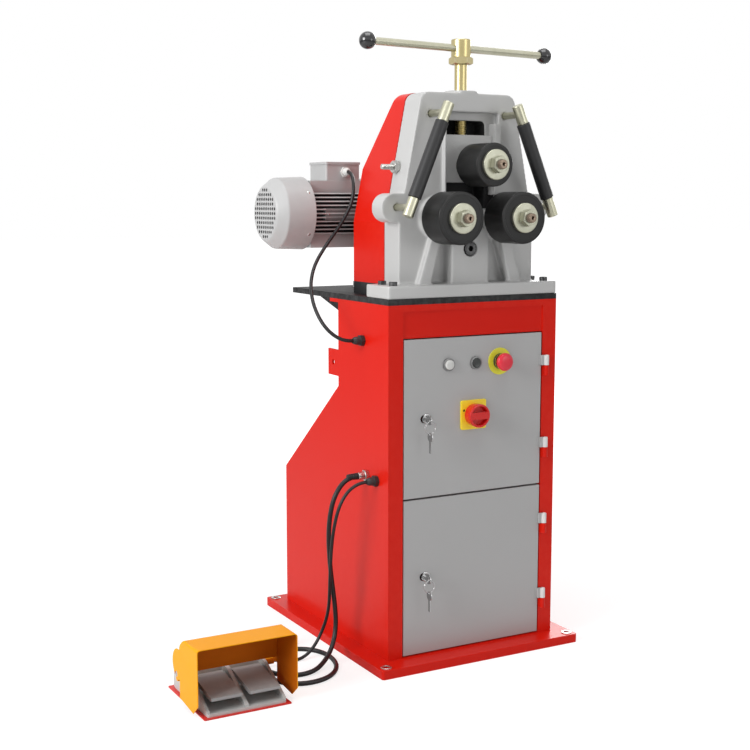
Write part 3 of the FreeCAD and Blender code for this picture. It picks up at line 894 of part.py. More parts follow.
def make_motor():
    x0, x1 = MOTOR_BODY_LEFT, MOTOR_FLANGE_X
    core = cyl(MOTOR_CORE_R, V(x0, MOTOR_Y, WORM_Z), X_AXIS, x1 - x0)
    body_len = x1 - MOTOR_FLANGE_T - x0
    envelope = cyl(MOTOR_FIN_R, V(x0, MOTOR_Y, WORM_Z), X_AXIS, body_len)
    fins = []
    for i in range(MOTOR_FIN_N):
        z = WORM_Z + (i - (MOTOR_FIN_N - 1) / 2) * MOTOR_FIN_PITCH
        fins.append(box(x0, x1 - MOTOR_FLANGE_T, MOTOR_Y - MOTOR_FIN_R, MOTOR_Y + MOTOR_FIN_R,
                        z - MOTOR_FIN_T / 2, z + MOTOR_FIN_T / 2).common(envelope))
    pads = box(FAN_COVER_RIGHT + 2, x1 - MOTOR_FLANGE_T, MOTOR_Y - MOTOR_PAD_HALF, MOTOR_Y + MOTOR_PAD_HALF,
               WORM_Z - MOTOR_FIN_R - 2, WORM_Z + MOTOR_FIN_R - 2)
    flange = cyl(MOTOR_FLANGE_R, V(x1 - MOTOR_FLANGE_T, MOTOR_Y, WORM_Z), X_AXIS, MOTOR_FLANGE_T)
    seat = box(TERM_X0 + 6, TERM_X1 - 6, FRONT + TERM_Y0 + 8, FRONT + TERM_Y1 - 8,
               WORM_Z + 40, WORM_Z + MOTOR_FIN_R - 2)
    shield = cyl(FAN_COVER_R - FAN_COVER_T - 0.5, V(x0, MOTOR_Y, WORM_Z), X_AXIS, FAN_COVER_RIGHT - x0 - 2)
    shape = fused(core, *fins, pads, flange, seat, shield)
    cavity = cyl(MOTOR_BORE_R, V(x0 + 14, MOTOR_Y, WORM_Z), X_AXIS, x1 - 14 - x0 - 14)
    shaft_bore = cyl(ROTOR_SHAFT_R + RUN, V(x0 - 1, MOTOR_Y, WORM_Z), X_AXIS, x1 - x0 + 2)
    save("motor_housing", cut_all(shape, cavity, shaft_bore))

    length = FAN_COVER_RIGHT - FAN_COVER_LEFT
    t = FAN_COVER_T
    shoulder = FAN_SHOULDER_X - FAN_COVER_LEFT
    cover = turned([(0, 0), (0, FAN_FACE_R), (6, FAN_FACE_R + 7), (shoulder, FAN_SHOULDER_R),
                    (length, FAN_COVER_R), (length, FAN_COVER_R - t), (shoulder, FAN_SHOULDER_R - t),
                    (6 + t, FAN_FACE_R + 6 - t), (t, FAN_FACE_R - t), (t, 0)],
                   V(FAN_COVER_LEFT, MOTOR_Y, WORM_Z), X_AXIS)
    holes = []
    for radius in FAN_RING_RADII:
        count = round(2 * math.pi * radius / FAN_HOLE_PITCH)
        for k in range(count):
            angle = 2 * math.pi * k / count
            holes.append(cyl(FAN_HOLE_R, V(FAN_COVER_LEFT - 1, MOTOR_Y + radius * math.cos(angle),
                                           WORM_Z + radius * math.sin(angle)), X_AXIS, t + 3))
    save("fan_cover", cover.cut(Part.makeCompound(holes)))

    shaft = cyl(ROTOR_SHAFT_R, V(FAN_X - 10, MOTOR_Y, WORM_Z), X_AXIS, BOX_RIGHT - 14 - FAN_X + 10)
    rotor_x = (MOTOR_BODY_LEFT + MOTOR_FLANGE_X) / 2 - ROTOR_LEN / 2
    rotor = cyl(ROTOR_R, V(rotor_x, MOTOR_Y, WORM_Z), X_AXIS, ROTOR_LEN)
    profile = [(0, 0), (0, WORM_CORE_R)]
    count = int(WORM_LEN / WORM_PITCH)
    for i in range(count):
        at = i * WORM_PITCH
        profile += [(at + 1.0, WORM_CORE_R), (at + 2.4, WORM_R), (at + 4.0, WORM_R),
                    (at + 5.4, WORM_CORE_R)]
    profile += [(WORM_LEN, WORM_CORE_R), (WORM_LEN, 0)]
    worm = turned(profile, V(-WORM_LEN / 2, MOTOR_Y, WORM_Z), X_AXIS)
    hub = tube(20, ROTOR_SHAFT_R, V(FAN_X, MOTOR_Y, WORM_Z), X_AXIS, FAN_W)
    blades = [hub]
    for k in range(FAN_BLADES):
        blade = box(FAN_X, FAN_X + FAN_W, MOTOR_Y + 18, MOTOR_Y + FAN_R, WORM_Z - 1.5, WORM_Z + 1.5)
        blade.rotate(V(0, MOTOR_Y, WORM_Z), X_AXIS, 360.0 * k / FAN_BLADES)
        blades.append(blade)
    save("motor_rotor", fused(shaft, rotor, worm), fused(*blades))

    y0, y1 = FRONT + TERM_Y0, FRONT + TERM_Y1
    base_z = WORM_Z + MOTOR_FIN_R - 2
    case = rounded_box(TERM_X0, TERM_X1, y0, y1, base_z, TERM_TOP - TERM_LID, 5)
    case = case.cut(rounded_box(TERM_X0 + 4, TERM_X1 - 4, y0 + 4, y1 - 4, base_z + 4, TERM_TOP, 3))
    case = case.cut(cyl(GLAND_NECK_R, V(MOTOR_ROUTE[0][0], y0 - 1, MOTOR_ROUTE[0][2]), Y_AXIS, 6))
    lid = rounded_box(TERM_X0 - 2, TERM_X1 + 2, y0 - 2, y1 + 2, TERM_TOP - TERM_LID, TERM_TOP, 6)
    save("terminal_box", case, lid)


# ---------------------------------------------------------------- glands and cords
def gland(start, outward, length, cord_d, cord_end):
    """Hexagon body, domed nut and a neck that fills the wall's hole, bored down to the cord's end."""
    neck = cyl(GLAND_NECK_R, start - outward * 10, outward, 10 + EMBED)
    nut = hexagon(GLAND_NUT_AF, start, outward, length * 0.35)
    lip_r = max(GLAND_R - 3.5, cord_d / 2 + 1.8)
    dome = turned([(0, 0), (0, GLAND_R), (length * 0.5, GLAND_R - 1), (length * 0.65, lip_r),
                   (length * 0.65, 0)], start + outward * length * 0.35, outward)
    mouth = cyl(cord_d / 2 + 0.8, start + outward * (length - 6), outward, 10)
    shape = fused(neck, nut, dome).cut(mouth)
    return shape.cut(cyl(cord_d / 2, V(*cord_end), outward, length + 5))


def make_glands():
    wall = -CAB_HALF
    glands = []
    for cord_end, cord_d in ((MOTOR_ROUTE[-1], MOTOR_CORD_D), (MAINS_ROUTE[0], MAINS_CORD_D),
                             (PEDAL_ROUTE[0], PEDAL_CORD_D)):
        foot = V(wall, cord_end[1], cord_end[2])
        glands.append(gland(foot, -X_AXIS, GLAND_OUT, cord_d, cord_end))
    motor_end = MOTOR_ROUTE[0]
    foot = V(motor_end[0], FRONT + TERM_Y0, motor_end[2])
    glands.append(gland(foot, -Y_AXIS, TERM_GLAND_OUT, MOTOR_CORD_D, motor_end))
    save("cable_glands", *glands)


def make_cord(name, route, diameter):
    """A tube along straight runs and tangent arcs, each arc as large as its runs allow."""
    points = [V(*p) for p in route]
    radii = [0.0]
    for i in range(1, len(points) - 1):
        radii.append(corner_radius(points[i - 1], points[i], points[i + 1], 0.45))
    radii.append(0.0)
    path = rounded_wire(points, radii, False)
    start, direction = points[0], points[1] - points[0]
    profile = Part.Wire(Part.makeCircle(diameter / 2, start, direction))
    cord = path.makePipeShell([profile], True, False)
    area = math.pi * diameter ** 2 / 4
    print("%s length %.0f volume ratio %.4f tightest %.0f mm = %.1f diameters" % (
        name, path.Length, cord.Volume / (area * path.Length), min(radii[1:-1]),
        min(radii[1:-1]) / diameter))
    print("   radii", [round(r) for r in radii[1:-1]])
    save(name, cord)


def make_plug():
    """Two-pin earthed mains plug lying at the end of the mains cord."""
    end, before = V(*MAINS_ROUTE[-1]), V(*MAINS_ROUTE[-2])
    along = V(end.x - before.x, end.y - before.y, 0).normalize()
    sleeve = cyl(MAINS_CORD_D / 2 + 2.5, end, along, 14)
    body = turned([(0, 0), (0, PLUG_R * 0.55), (12, PLUG_R - 1), (PLUG_LEN, PLUG_R - 1),
                   (PLUG_LEN, 0)], end + along * 10, along)
    face = end + along * (10 + PLUG_LEN)
    shape = fused(sleeve, body)
    across = along.cross(Z_AXIS)
    for side in (-1, 1):
        start = face + across * (side * PLUG_PIN_GAP / 2) - along * EMBED
        shape = shape.fuse(cyl(PLUG_PIN_R, start, along, PLUG_PIN_LEN + EMBED))
    save("mains_plug", shape.removeSplitter())


# ---------------------------------------------------------------- pedal unit
def make_pedals():
    half = PED_W / 2
    y0 = FRONT + PED_Y0
    plate = rounded_box(PED_X - half, PED_X + half, y0, y0 + PED_D, 0, PED_PLATE_T, 3)
    save("pedal_base_plate", plate)
    base_half = PED_BASE_W / 2
    b0, b1 = FRONT + PED_BASE_Y0, FRONT + PED_BASE_Y1
    z0 = PED_PLATE_T
    tray = rounded_box(PED_X - base_half, PED_X + base_half, b0, b1, z0, z0 + PED_FLOOR_T, 5)
    rear_y = FRONT + PED_BOX_Y0
    shape = tray
    side_outline = [(b0 + 4, z0 + 2), (b1, z0 + 2), (b1, PED_BOX_TOP), (rear_y, PED_BOX_TOP),
                    (b0 + 4, z0 + PED_LIP_H)]
    for x in (PED_X - base_half, PED_X - PED_RIB_W / 2, PED_X + base_half - PED_WALL):
        wide = PED_RIB_W if abs(x - PED_X) < 10 else PED_WALL
        shape = shape.fuse(prism(side_outline, 0, "X", x, x + wide))
    cover_y = FRONT + PED_PIN_Y + 14
    rear = box(PED_X - base_half, PED_X + base_half, cover_y, b1, z0 + 2, PED_BOX_TOP)
    hollow = box(PED_X - base_half + PED_WALL, PED_X + base_half - PED_WALL, cover_y + 5, b1 - 5,
                 z0 + PED_FLOOR_T, PED_BOX_TOP - 5)
    shape = shape.fuse(rear).cut(hollow).removeSplitter()
    pin_y = FRONT + PED_PIN_Y
    pin_hole = cyl(PED_PIN_R, V(PED_X - base_half - 1, pin_y, PED_PIN_Z), X_AXIS, PED_BASE_W + 2)
    entry = PEDAL_ROUTE[-1]
    shape = cut_all(shape, pin_hole, cyl(PEDAL_CORD_D / 2 + 1.5, V(entry[0], b1 - 6, entry[2]), Y_AXIS, 8))
    pin = cyl(PED_PIN_R, V(PED_X - base_half, pin_y, PED_PIN_Z), X_AXIS, PED_BASE_W)
    bush = tube(PEDAL_CORD_D / 2 + 1.5, PEDAL_CORD_D / 2, V(entry[0], b1 - 5, entry[2]), Y_AXIS, 9)
    save("pedal_housing", shape, pin, bush)
    for side, name in ((-1, "left"), (1, "right")):
        centre = PED_X + side * (PED_RIB_W / 2 + (base_half - PED_WALL - PED_RIB_W / 2) / 2)
        tread_half = PED_TREAD_W / 2
        t0 = FRONT + PED_TREAD_Y0
        outline = [(t0, PED_TREAD_FRONT_Z - 6), (t0 + 10, PED_TREAD_FRONT_Z - PED_TREAD_T),
                   (pin_y - 14, PED_PIN_Z + 2), (pin_y, PED_PIN_Z - 9), (pin_y + 8, PED_PIN_Z),
                   (pin_y + 4, PED_PIN_Z + 9), (pin_y - 14, PED_PIN_Z + 11), (t0, PED_TREAD_FRONT_Z)]
        pedal = prism(outline, 0, "X", centre - tread_half, centre + tread_half)
        hole = cyl(PED_PIN_R + RUN, V(centre - tread_half - 1, pin_y, PED_PIN_Z), X_AXIS,
                   PED_TREAD_W + 2)
        save("pedal_" + name, pedal.cut(hole))
    make_hood()


def hood_cheek(offset):
    """Cheek outline, offset inwards by the sheet for the inner form."""
    f, b = FRONT + HOOD_FRONT, FRONT + HOOD_BACK
    return [(f, HOOD_BOTTOM + 22), (f + 26, HOOD_BOTTOM), (b, HOOD_BOTTOM + 8), (b, HOOD_TOP - 20),
            (FRONT + HOOD_TOP_BACK, HOOD_TOP - offset), (f, HOOD_TOP - offset)]


def make_hood():
    x0, x1 = PED_X + 1 - HOOD_HALF_W, PED_X + 1 + HOOD_HALF_W
    cheek = hood_cheek(0)
    pieces = []
    lug = cyl(HOOD_LUG_R, V(x0, FRONT + HOOD_LUG_Y, HOOD_LUG_Z), X_AXIS, HOOD_T)
    cheek_plate = prism(cheek, [6, 14, 4, 6, 10, HOOD_CORNER_R], "X", x0, x0 + HOOD_T)
    left = fused(cheek_plate, lug)
    right = left.copy()
    right.translate(V(x1 - x0 - HOOD_T, 0, 0))
    t = HOOD_T
    f, b, tb = FRONT + HOOD_FRONT, FRONT + HOOD_BACK, FRONT + HOOD_TOP_BACK
    roof = [(f, HOOD_TOP - t), (f, HOOD_TOP), (tb, HOOD_TOP), (b, HOOD_TOP - 20), (b, HOOD_SHELF_Z),
            (b - t, HOOD_SHELF_Z), (b - t, HOOD_TOP - 21), (tb - 1, HOOD_TOP - t)]
    shell = prism(roof, 0, "X", x0, x1)
    hood = fused(left, right, shell)
    ends = []
    base_half = PED_BASE_W / 2
    for inner, outer in ((PED_X - base_half, x0 + HOOD_T), (PED_X + base_half, x1 - HOOD_T)):
        low, high = min(inner, outer), max(inner, outer)
        spacer = cyl(HOOD_BOLT_R + 3, V(low, FRONT + HOOD_LUG_Y + 12, PED_BOX_TOP - 9), X_AXIS, high - low)
        ends.append(spacer)
    hood = fused(hood, *ends)
    save("pedal_hood", hood)


def main():
    os.makedirs("parts", exist_ok=True)
    make_base_tray()
    make_cabinet()
    make_shelf()
    make_switchgear()
    make_doors()
    make_controls()
    make_slab()
    make_head_casting()
    make_head_hardware()
    make_gear_cover()
    make_rolls()
    make_carriage()
    make_screw_and_handle()
    make_guides()
    make_drive()
    make_gearbox()
    make_motor()
    make_glands()
    make_cord("motor_cable", MOTOR_ROUTE, MOTOR_CORD_D)
    make_cord("pedal_cable", PEDAL_ROUTE, PEDAL_CORD_D)
    make_cord("mains_cable", MAINS_ROUTE, MAINS_CORD_D)
    make_plug()
    make_pedals()
    print(len(PARTS), "nodes")


main()
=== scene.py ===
import math

import bpy
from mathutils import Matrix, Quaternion, Vector


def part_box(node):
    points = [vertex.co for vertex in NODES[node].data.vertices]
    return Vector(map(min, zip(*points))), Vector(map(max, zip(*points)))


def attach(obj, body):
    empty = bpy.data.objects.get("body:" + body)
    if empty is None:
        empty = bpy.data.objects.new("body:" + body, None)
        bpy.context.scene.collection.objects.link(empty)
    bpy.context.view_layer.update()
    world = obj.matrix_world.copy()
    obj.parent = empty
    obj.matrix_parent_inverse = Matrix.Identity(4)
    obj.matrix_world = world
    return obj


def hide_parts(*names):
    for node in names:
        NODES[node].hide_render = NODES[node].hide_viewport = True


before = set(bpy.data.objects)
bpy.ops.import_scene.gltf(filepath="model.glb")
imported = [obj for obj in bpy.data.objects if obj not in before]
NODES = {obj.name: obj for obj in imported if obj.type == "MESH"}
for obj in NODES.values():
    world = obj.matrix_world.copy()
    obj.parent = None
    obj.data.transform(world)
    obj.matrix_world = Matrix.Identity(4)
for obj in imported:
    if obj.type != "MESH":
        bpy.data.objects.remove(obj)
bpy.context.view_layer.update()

bl_info = {
    "name": "Ring Roller",
    "version": (1, 0, 0),
    "blender": (4, 5, 0),
    "location": "3D View > Sidebar > Ring Roller",
    "description": "Dresses a floor-standing three-roll ring roller around its construction model",
    "category": "Object",
}

MM = 0.001

# ------------------------------------------------------------------ named places
CABINET_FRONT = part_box("door_upper")[0].y / MM
X_AXIS, Y_AXIS, Z_AXIS = Vector((1, 0, 0)), Vector((0, 1, 0)), Vector((0, 0, 1))
SAME_SIZE = 1e-6        # radii this close count as one, in millimetres

# Cords, all in millimetres: diameter, real length, far end and route, as the part's source has
# them.
CORDS = {
    "motor_cable": {
        "diameter": 8.0, "length": 535, "far_end": "object", "lay": "hanging",
        "route": [
            (-158, 54, 1080), (-158, 37, 1080), (-160, 21, 1074), (-163, 8, 1063),
            (-167, -3, 1042), (-172, -4, 1012), (-185, 1, 982), (-206, 4, 950),
            (-237, 0, 915), (-272, -16, 877), (-297, -43, 839), (-309, -74, 802),
            (-309, -99, 771), (-301, -117, 746), (-287, -129, 728), (-270, -137, 717),
            (-251, -140, 713), (-233, -140, 713)]},
    "mains_cable": {
        "diameter": 10.5, "length": 1436, "far_end": "plug", "lay": "loose",
        "route": [
            (-232, -160, 417), (-256, -160, 417), (-278, -162, 408), (-295, -165, 391),
            (-307, -165, 366), (-311, -158, 328), (-309, -149, 286), (-304, -143, 241),
            (-298, -139, 195), (-290, -135, 151), (-284, -132, 110), (-283, -132, 78),
            (-290, -138, 50), (-307, -152, 27), (-334, -175, 15), (-365, -196, 8),
            (-399, -200, 5.3), (-431, -187, 5.3), (-452, -159, 5.3), (-457, -123, 5.3),
            (-448, -87, 5.3), (-424, -58, 5.3), (-391, -41, 5.3), (-355, -40, 5.3),
            (-325, -53, 5.3), (-305, -77, 5.3), (-295, -110, 5.3), (-297, -147, 5.3),
            (-307, -183, 5.3), (-327, -215, 5.3), (-356, -240, 5.3), (-392, -251, 5.3),
            (-427, -246, 5.3), (-453, -226, 5.3), (-466, -196, 5.3), (-472, -163, 5.3),
            (-474, -130, 5.3), (-478, -99, 5.3), (-480, -68, 6.5), (-472, -39, 10),
            (-453, -16, 15), (-426, -4, 18), (-400, -4, 18)]},
    "pedal_cable": {
        "diameter": 7.5, "length": 765, "far_end": "object", "lay": "loose",
        "route": [
            (-232, -202, 412), (-250, -202, 412), (-267, -201, 408), (-285, -199, 397),
            (-300, -197, 377), (-309, -193, 352), (-313, -186, 322), (-313, -176, 291),
            (-311, -166, 259), (-310, -160, 227), (-308, -153, 193), (-304, -143, 159),
            (-298, -128, 125), (-295, -111, 91), (-301, -100, 58), (-316, -98, 30),
            (-337, -103, 12), (-360, -107, 4), (-385, -110, 5), (-414, -112, 12),
            (-444, -110, 18.5), (-473, -103, 18.5), (-498, -92, 18.5), (-524, -82, 20),
            (-544, -83, 23), (-561, -92, 26), (-573, -105, 29), (-580, -122, 30),
            (-580, -139, 30)]},
}


def cord_radius(name):
    return CORDS[name]["diameter"] / 2


# ------------------------------------------------------------------ settings
class RingRollerColours(bpy.types.PropertyGroup):
    """Colours of the painted, plated and moulded surfaces."""

    machine_red: bpy.props.FloatVectorProperty(
        name="Machine red", description="Gloss paint of cabinet, tray and gear cover",
        subtype="COLOR", size=3, min=0, max=1, default=(0.63, 0.010, 0.003))
    door_grey: bpy.props.FloatVectorProperty(
        name="Door grey", description="Powder coat of the two doors",
        subtype="COLOR", size=3, min=0, max=1, default=(0.40, 0.40, 0.40))
    casting_grey: bpy.props.FloatVectorProperty(
        name="Casting grey", description="Paint on the head casting and slide block",
        subtype="COLOR", size=3, min=0, max=1, default=(0.49, 0.49, 0.485))
    motor_grey: bpy.props.FloatVectorProperty(
        name="Motor grey", description="Paint of motor, fan cover and terminal box",
        subtype="COLOR", size=3, min=0, max=1, default=(0.45, 0.45, 0.45))
    slab_black: bpy.props.FloatVectorProperty(
        name="Slab black", description="Blackened steel of the slab and its gussets",
        subtype="COLOR", size=3, min=0, max=1, default=(0.013, 0.013, 0.014))
    zinc_yellow: bpy.props.FloatVectorProperty(
        name="Zinc yellow", description="Yellow passivated zinc of screws, nuts and handle bar",
        subtype="COLOR", size=3, min=0, max=1, default=(0.52, 0.44, 0.22))
    zinc_pale: bpy.props.FloatVectorProperty(
        name="Zinc pale", description="Thin passivated zinc of guide bars, washers and nuts",
        subtype="COLOR", size=3, min=0, max=1, default=(0.52, 0.51, 0.38))
    bright_steel: bpy.props.FloatVectorProperty(
        name="Bright steel", description="Ground and turned steel",
        subtype="COLOR", size=3, min=0, max=1, default=(0.55, 0.55, 0.53))
    roll_black: bpy.props.FloatVectorProperty(
        name="Roll black", description="Hardened and blackened steel of the rolls",
        subtype="COLOR", size=3, min=0, max=1, default=(0.010, 0.010, 0.010))
    hood_orange: bpy.props.FloatVectorProperty(
        name="Hood orange", description="Paint of the pedal hood",
        subtype="COLOR", size=3, min=0, max=1, default=(0.86, 0.36, 0.010))
    pedal_grey: bpy.props.FloatVectorProperty(
        name="Pedal grey", description="Painted casting of the pedal unit",
        subtype="COLOR", size=3, min=0, max=1, default=(0.29, 0.29, 0.288))
    signal_red: bpy.props.FloatVectorProperty(
        name="Signal red", description="Moulded emergency stop and switch knob",
        subtype="COLOR", size=3, min=0, max=1, default=(0.62, 0.012, 0.010))
    signal_yellow: bpy.props.FloatVectorProperty(
        name="Signal yellow", description="Moulded plates behind the stop and the switch",
        subtype="COLOR", size=3, min=0, max=1, default=(0.93, 0.72, 0.025))


class RingRollerSizes(bpy.types.PropertyGroup):
    """Sizes of the finish of the pieces: folds, fillets and chamfers."""

    fold_radius: bpy.props.FloatProperty(
        name="Fold radius",
        description="Outer radius of the folds of the sheet metal, in millimetres",
        default=2.2, min=0.5, max=5)
    voxel: bpy.props.FloatProperty(
        name="Casting voxel",
        description="Voxel size that the casting is rounded with, in millimetres",
        default=2.2, min=1, max=6)


class RingRollerStage(bpy.types.PropertyGroup):
    """Camera, lamps and floor."""

    camera_place: bpy.props.FloatVectorProperty(
        name="Camera place", description="Where the camera stands",
        subtype="TRANSLATION", unit="LENGTH", size=3, default=(-1.5645, -2.6389, 1.0181))
    camera_yaw: bpy.props.FloatProperty(
        name="Camera yaw", description="Turn of the camera from +Y towards +X",
        subtype="ANGLE", default=math.radians(28.85))
    camera_pitch: bpy.props.FloatProperty(
        name="Camera pitch", description="Tilt of the camera, negative looks down",
        subtype="ANGLE", default=math.radians(-7.654))
    camera_lens: bpy.props.FloatProperty(
        name="Lens", description="Focal length on a 36 mm wide sensor, in millimetres",
        default=62.75, min=10, max=200)
    sky_strength: bpy.props.FloatProperty(
        name="Sky strength", description="Strength of the even light from all sides",
        default=0.34, min=0, max=2)


def colours():
    return bpy.context.scene.ring_roller_colours


def sizes():
    return bpy.context.scene.ring_roller_sizes


# ------------------------------------------------------------------ shader groups
def add_node(tree, kind, inputs=None, **settings):
    """A shader node; inputs maps a socket name or index to a value or to a socket to link."""
    node = tree.nodes.new(kind)
    for key, value in settings.items():
        setattr(node, key, value)
    for key, value in (inputs or {}).items():
        if isinstance(value, bpy.types.NodeSocket):
            tree.links.new(value, node.inputs[key])
        else:
            node.inputs[key].default_value = value
    return node


def new_group(name, inputs, outputs):
    group = bpy.data.node_groups.new(name, "ShaderNodeTree")
    for socket_name, kind, value in inputs:
        socket = group.interface.new_socket(socket_name, in_out="INPUT", socket_type=kind)
        if value is not None:
            socket.default_value = value
    for socket_name, kind in outputs:
        group.interface.new_socket(socket_name, in_out="OUTPUT", socket_type=kind)
    start = group.nodes.new("NodeGroupInput")
    end = group.nodes.new("NodeGroupOutput")
    return group, start.outputs, end.inputs


def math_node(tree, operation, a, b=None, clamp=False):
    inputs = {0: a}
    if b is not None:
        inputs[1] = b
    return add_node(tree, "ShaderNodeMath", inputs, operation=operation,
                    use_clamp=clamp).outputs[0]


def span(tree, value, from_min, from_max, to_min, to_max, smooth=False):
    return add_node(tree, "ShaderNodeMapRange",
                    {"Value": value, "From Min": from_min, "From Max": from_max,
                     "To Min": to_min, "To Max": to_max},
                    interpolation_type="SMOOTHSTEP" if smooth else "LINEAR").outputs["Result"]


# sockets of the Mix node: its share, then the two inputs and the output of each data type
MIX_SHARE = 0
MIX_FLOATS, MIX_FLOAT = (2, 3), 0
MIX_COLOURS, MIX_COLOUR = (6, 7), 2


def blend_colour(tree, share, first, second):
    return add_node(tree, "ShaderNodeMix",
                    {MIX_SHARE: share, MIX_COLOURS[0]: first, MIX_COLOURS[1]: second},
                    data_type="RGBA").outputs[MIX_COLOUR]


def blend_value(tree, share, first, second):
    return add_node(tree, "ShaderNodeMix",
                    {MIX_SHARE: share, MIX_FLOATS[0]: first, MIX_FLOATS[1]: second},
                    data_type="FLOAT").outputs[MIX_FLOAT]


def noise(tree, vector, scale, detail=2.0, roughness=0.5):
    return add_node(tree, "ShaderNodeTexNoise",
                    {"Vector": vector, "Scale": scale, "Detail": detail, "Roughness": roughness}
                    ).outputs["Fac"]


def build_drift_group():
    """Slow drift of lightness and gloss over a surface."""
    group, given, result = new_group(
        "Surface Drift",
        [("Vector", "NodeSocketVector", None), ("Colour", "NodeSocketColor", (1, 1, 1, 1)),
         ("Scale", "NodeSocketFloat", 6.0), ("Amount", "NodeSocketFloat", 0.06),
         ("Roughness", "NodeSocketFloat", 0.4), ("Spread", "NodeSocketFloat", 0.05)],
        [("Colour", "NodeSocketColor"), ("Roughness", "NodeSocketFloat")])
    cloud = noise(group, given["Vector"], given["Scale"], detail=3.0)
    centred = math_node(group, "SUBTRACT", cloud, 0.5)
    gain = math_node(group, "ADD", math_node(group, "MULTIPLY", centred, given["Amount"]), 1.0)
    tint = add_node(group, "ShaderNodeVectorMath", {0: given["Colour"], "Scale": gain},
                    operation="SCALE").outputs[0]
    group.links.new(tint, result["Colour"])
    finer = math_node(group, "MULTIPLY", given["Scale"], 7.0)
    fine = noise(group, given["Vector"], finer, detail=4.0, roughness=0.6)
    swing = math_node(group, "MULTIPLY", math_node(group, "SUBTRACT", fine, 0.5), given["Spread"])
    group.links.new(math_node(group, "ADD", given["Roughness"], swing, clamp=True),
                    result["Roughness"])
    return group


def build_grain_group():
    """Height of a fine grain with a coarser ripple under it."""
    group, given, result = new_group(
        "Skin Grain",
        [("Vector", "NodeSocketVector", None), ("Grain Scale", "NodeSocketFloat", 900.0),
         ("Ripple Scale", "NodeSocketFloat", 120.0), ("Ripple Share", "NodeSocketFloat", 0.5)],
        [("Height", "NodeSocketFloat")])
    fine = noise(group, given["Vector"], given["Grain Scale"], detail=3.0, roughness=0.6)
    broad = noise(group, given["Vector"], given["Ripple Scale"])
    group.links.new(blend_value(group, given["Ripple Share"], fine, broad), result["Height"])
    return group


def build_edge_group():
    """Paler or brighter line where a surface is rubbed along its outer edges."""
    group, given, result = new_group(
        "Edge Rub",
        [("Vector", "NodeSocketVector", None), ("Colour", "NodeSocketColor", (1, 1, 1, 1)),
         ("Rub Colour", "NodeSocketColor", (1, 1, 1, 1)), ("Amount", "NodeSocketFloat", 0.3)],
        [("Colour", "NodeSocketColor"), ("Mask", "NodeSocketFloat")])
    point = add_node(group, "ShaderNodeNewGeometry").outputs["Pointiness"]
    edge = span(group, point, 0.515, 0.60, 0.0, 1.0, smooth=True)
    patches = noise(group, given["Vector"], scale=60.0, detail=4.0, roughness=0.65)
    patchy = span(group, patches, 0.38, 0.62, 0.25, 1.0)
    mask = math_node(group, "MULTIPLY", math_node(group, "MULTIPLY", edge, patchy),
                     given["Amount"], clamp=True)
    group.links.new(blend_colour(group, mask, given["Colour"], given["Rub Colour"]),
                    result["Colour"])
    group.links.new(mask, result["Mask"])
    return group


def build_dust_group():
    """A thin film of workshop dust that thickens towards the floor."""
    group, given, result = new_group(
        "Floor Dust",
        [("Vector", "NodeSocketVector", None), ("Colour", "NodeSocketColor", (1, 1, 1, 1)),
         ("Dust Colour", "NodeSocketColor", (0.42, 0.41, 0.40, 1)),
         ("Reach", "NodeSocketFloat", 0.12), ("Amount", "NodeSocketFloat", 0.1)],
        [("Colour", "NodeSocketColor"), ("Mask", "NodeSocketFloat")])
    height = add_node(group, "ShaderNodeSeparateXYZ", {0: given["Vector"]}).outputs["Z"]
    fall = math_node(group, "SUBTRACT", 1.0, math_node(group, "DIVIDE", height, given["Reach"]),
                     clamp=True)
    cloud = noise(group, given["Vector"], scale=25.0, detail=5.0, roughness=0.6)
    cloud = span(group, cloud, 0.35, 0.7, 0.2, 1.0)
    mask = math_node(group, "MULTIPLY", math_node(group, "MULTIPLY", fall, cloud),
                     given["Amount"], clamp=True)
    group.links.new(blend_colour(group, mask, given["Colour"], given["Dust Colour"]),
                    result["Colour"])
    group.links.new(mask, result["Mask"])
    return group


GROUPS = {}


def build_groups():
    GROUPS.update({"drift": build_drift_group(), "grain": build_grain_group(),
                   "edge": build_edge_group(), "dust": build_dust_group()})


def use_group(tree, key, inputs):
    return add_node(tree, "ShaderNodeGroup", inputs, node_tree=GROUPS[key]).outputs


def rgba(colour):
    return (*tuple(colour)[:3], 1.0)


WHITE = rgba((1, 1, 1))


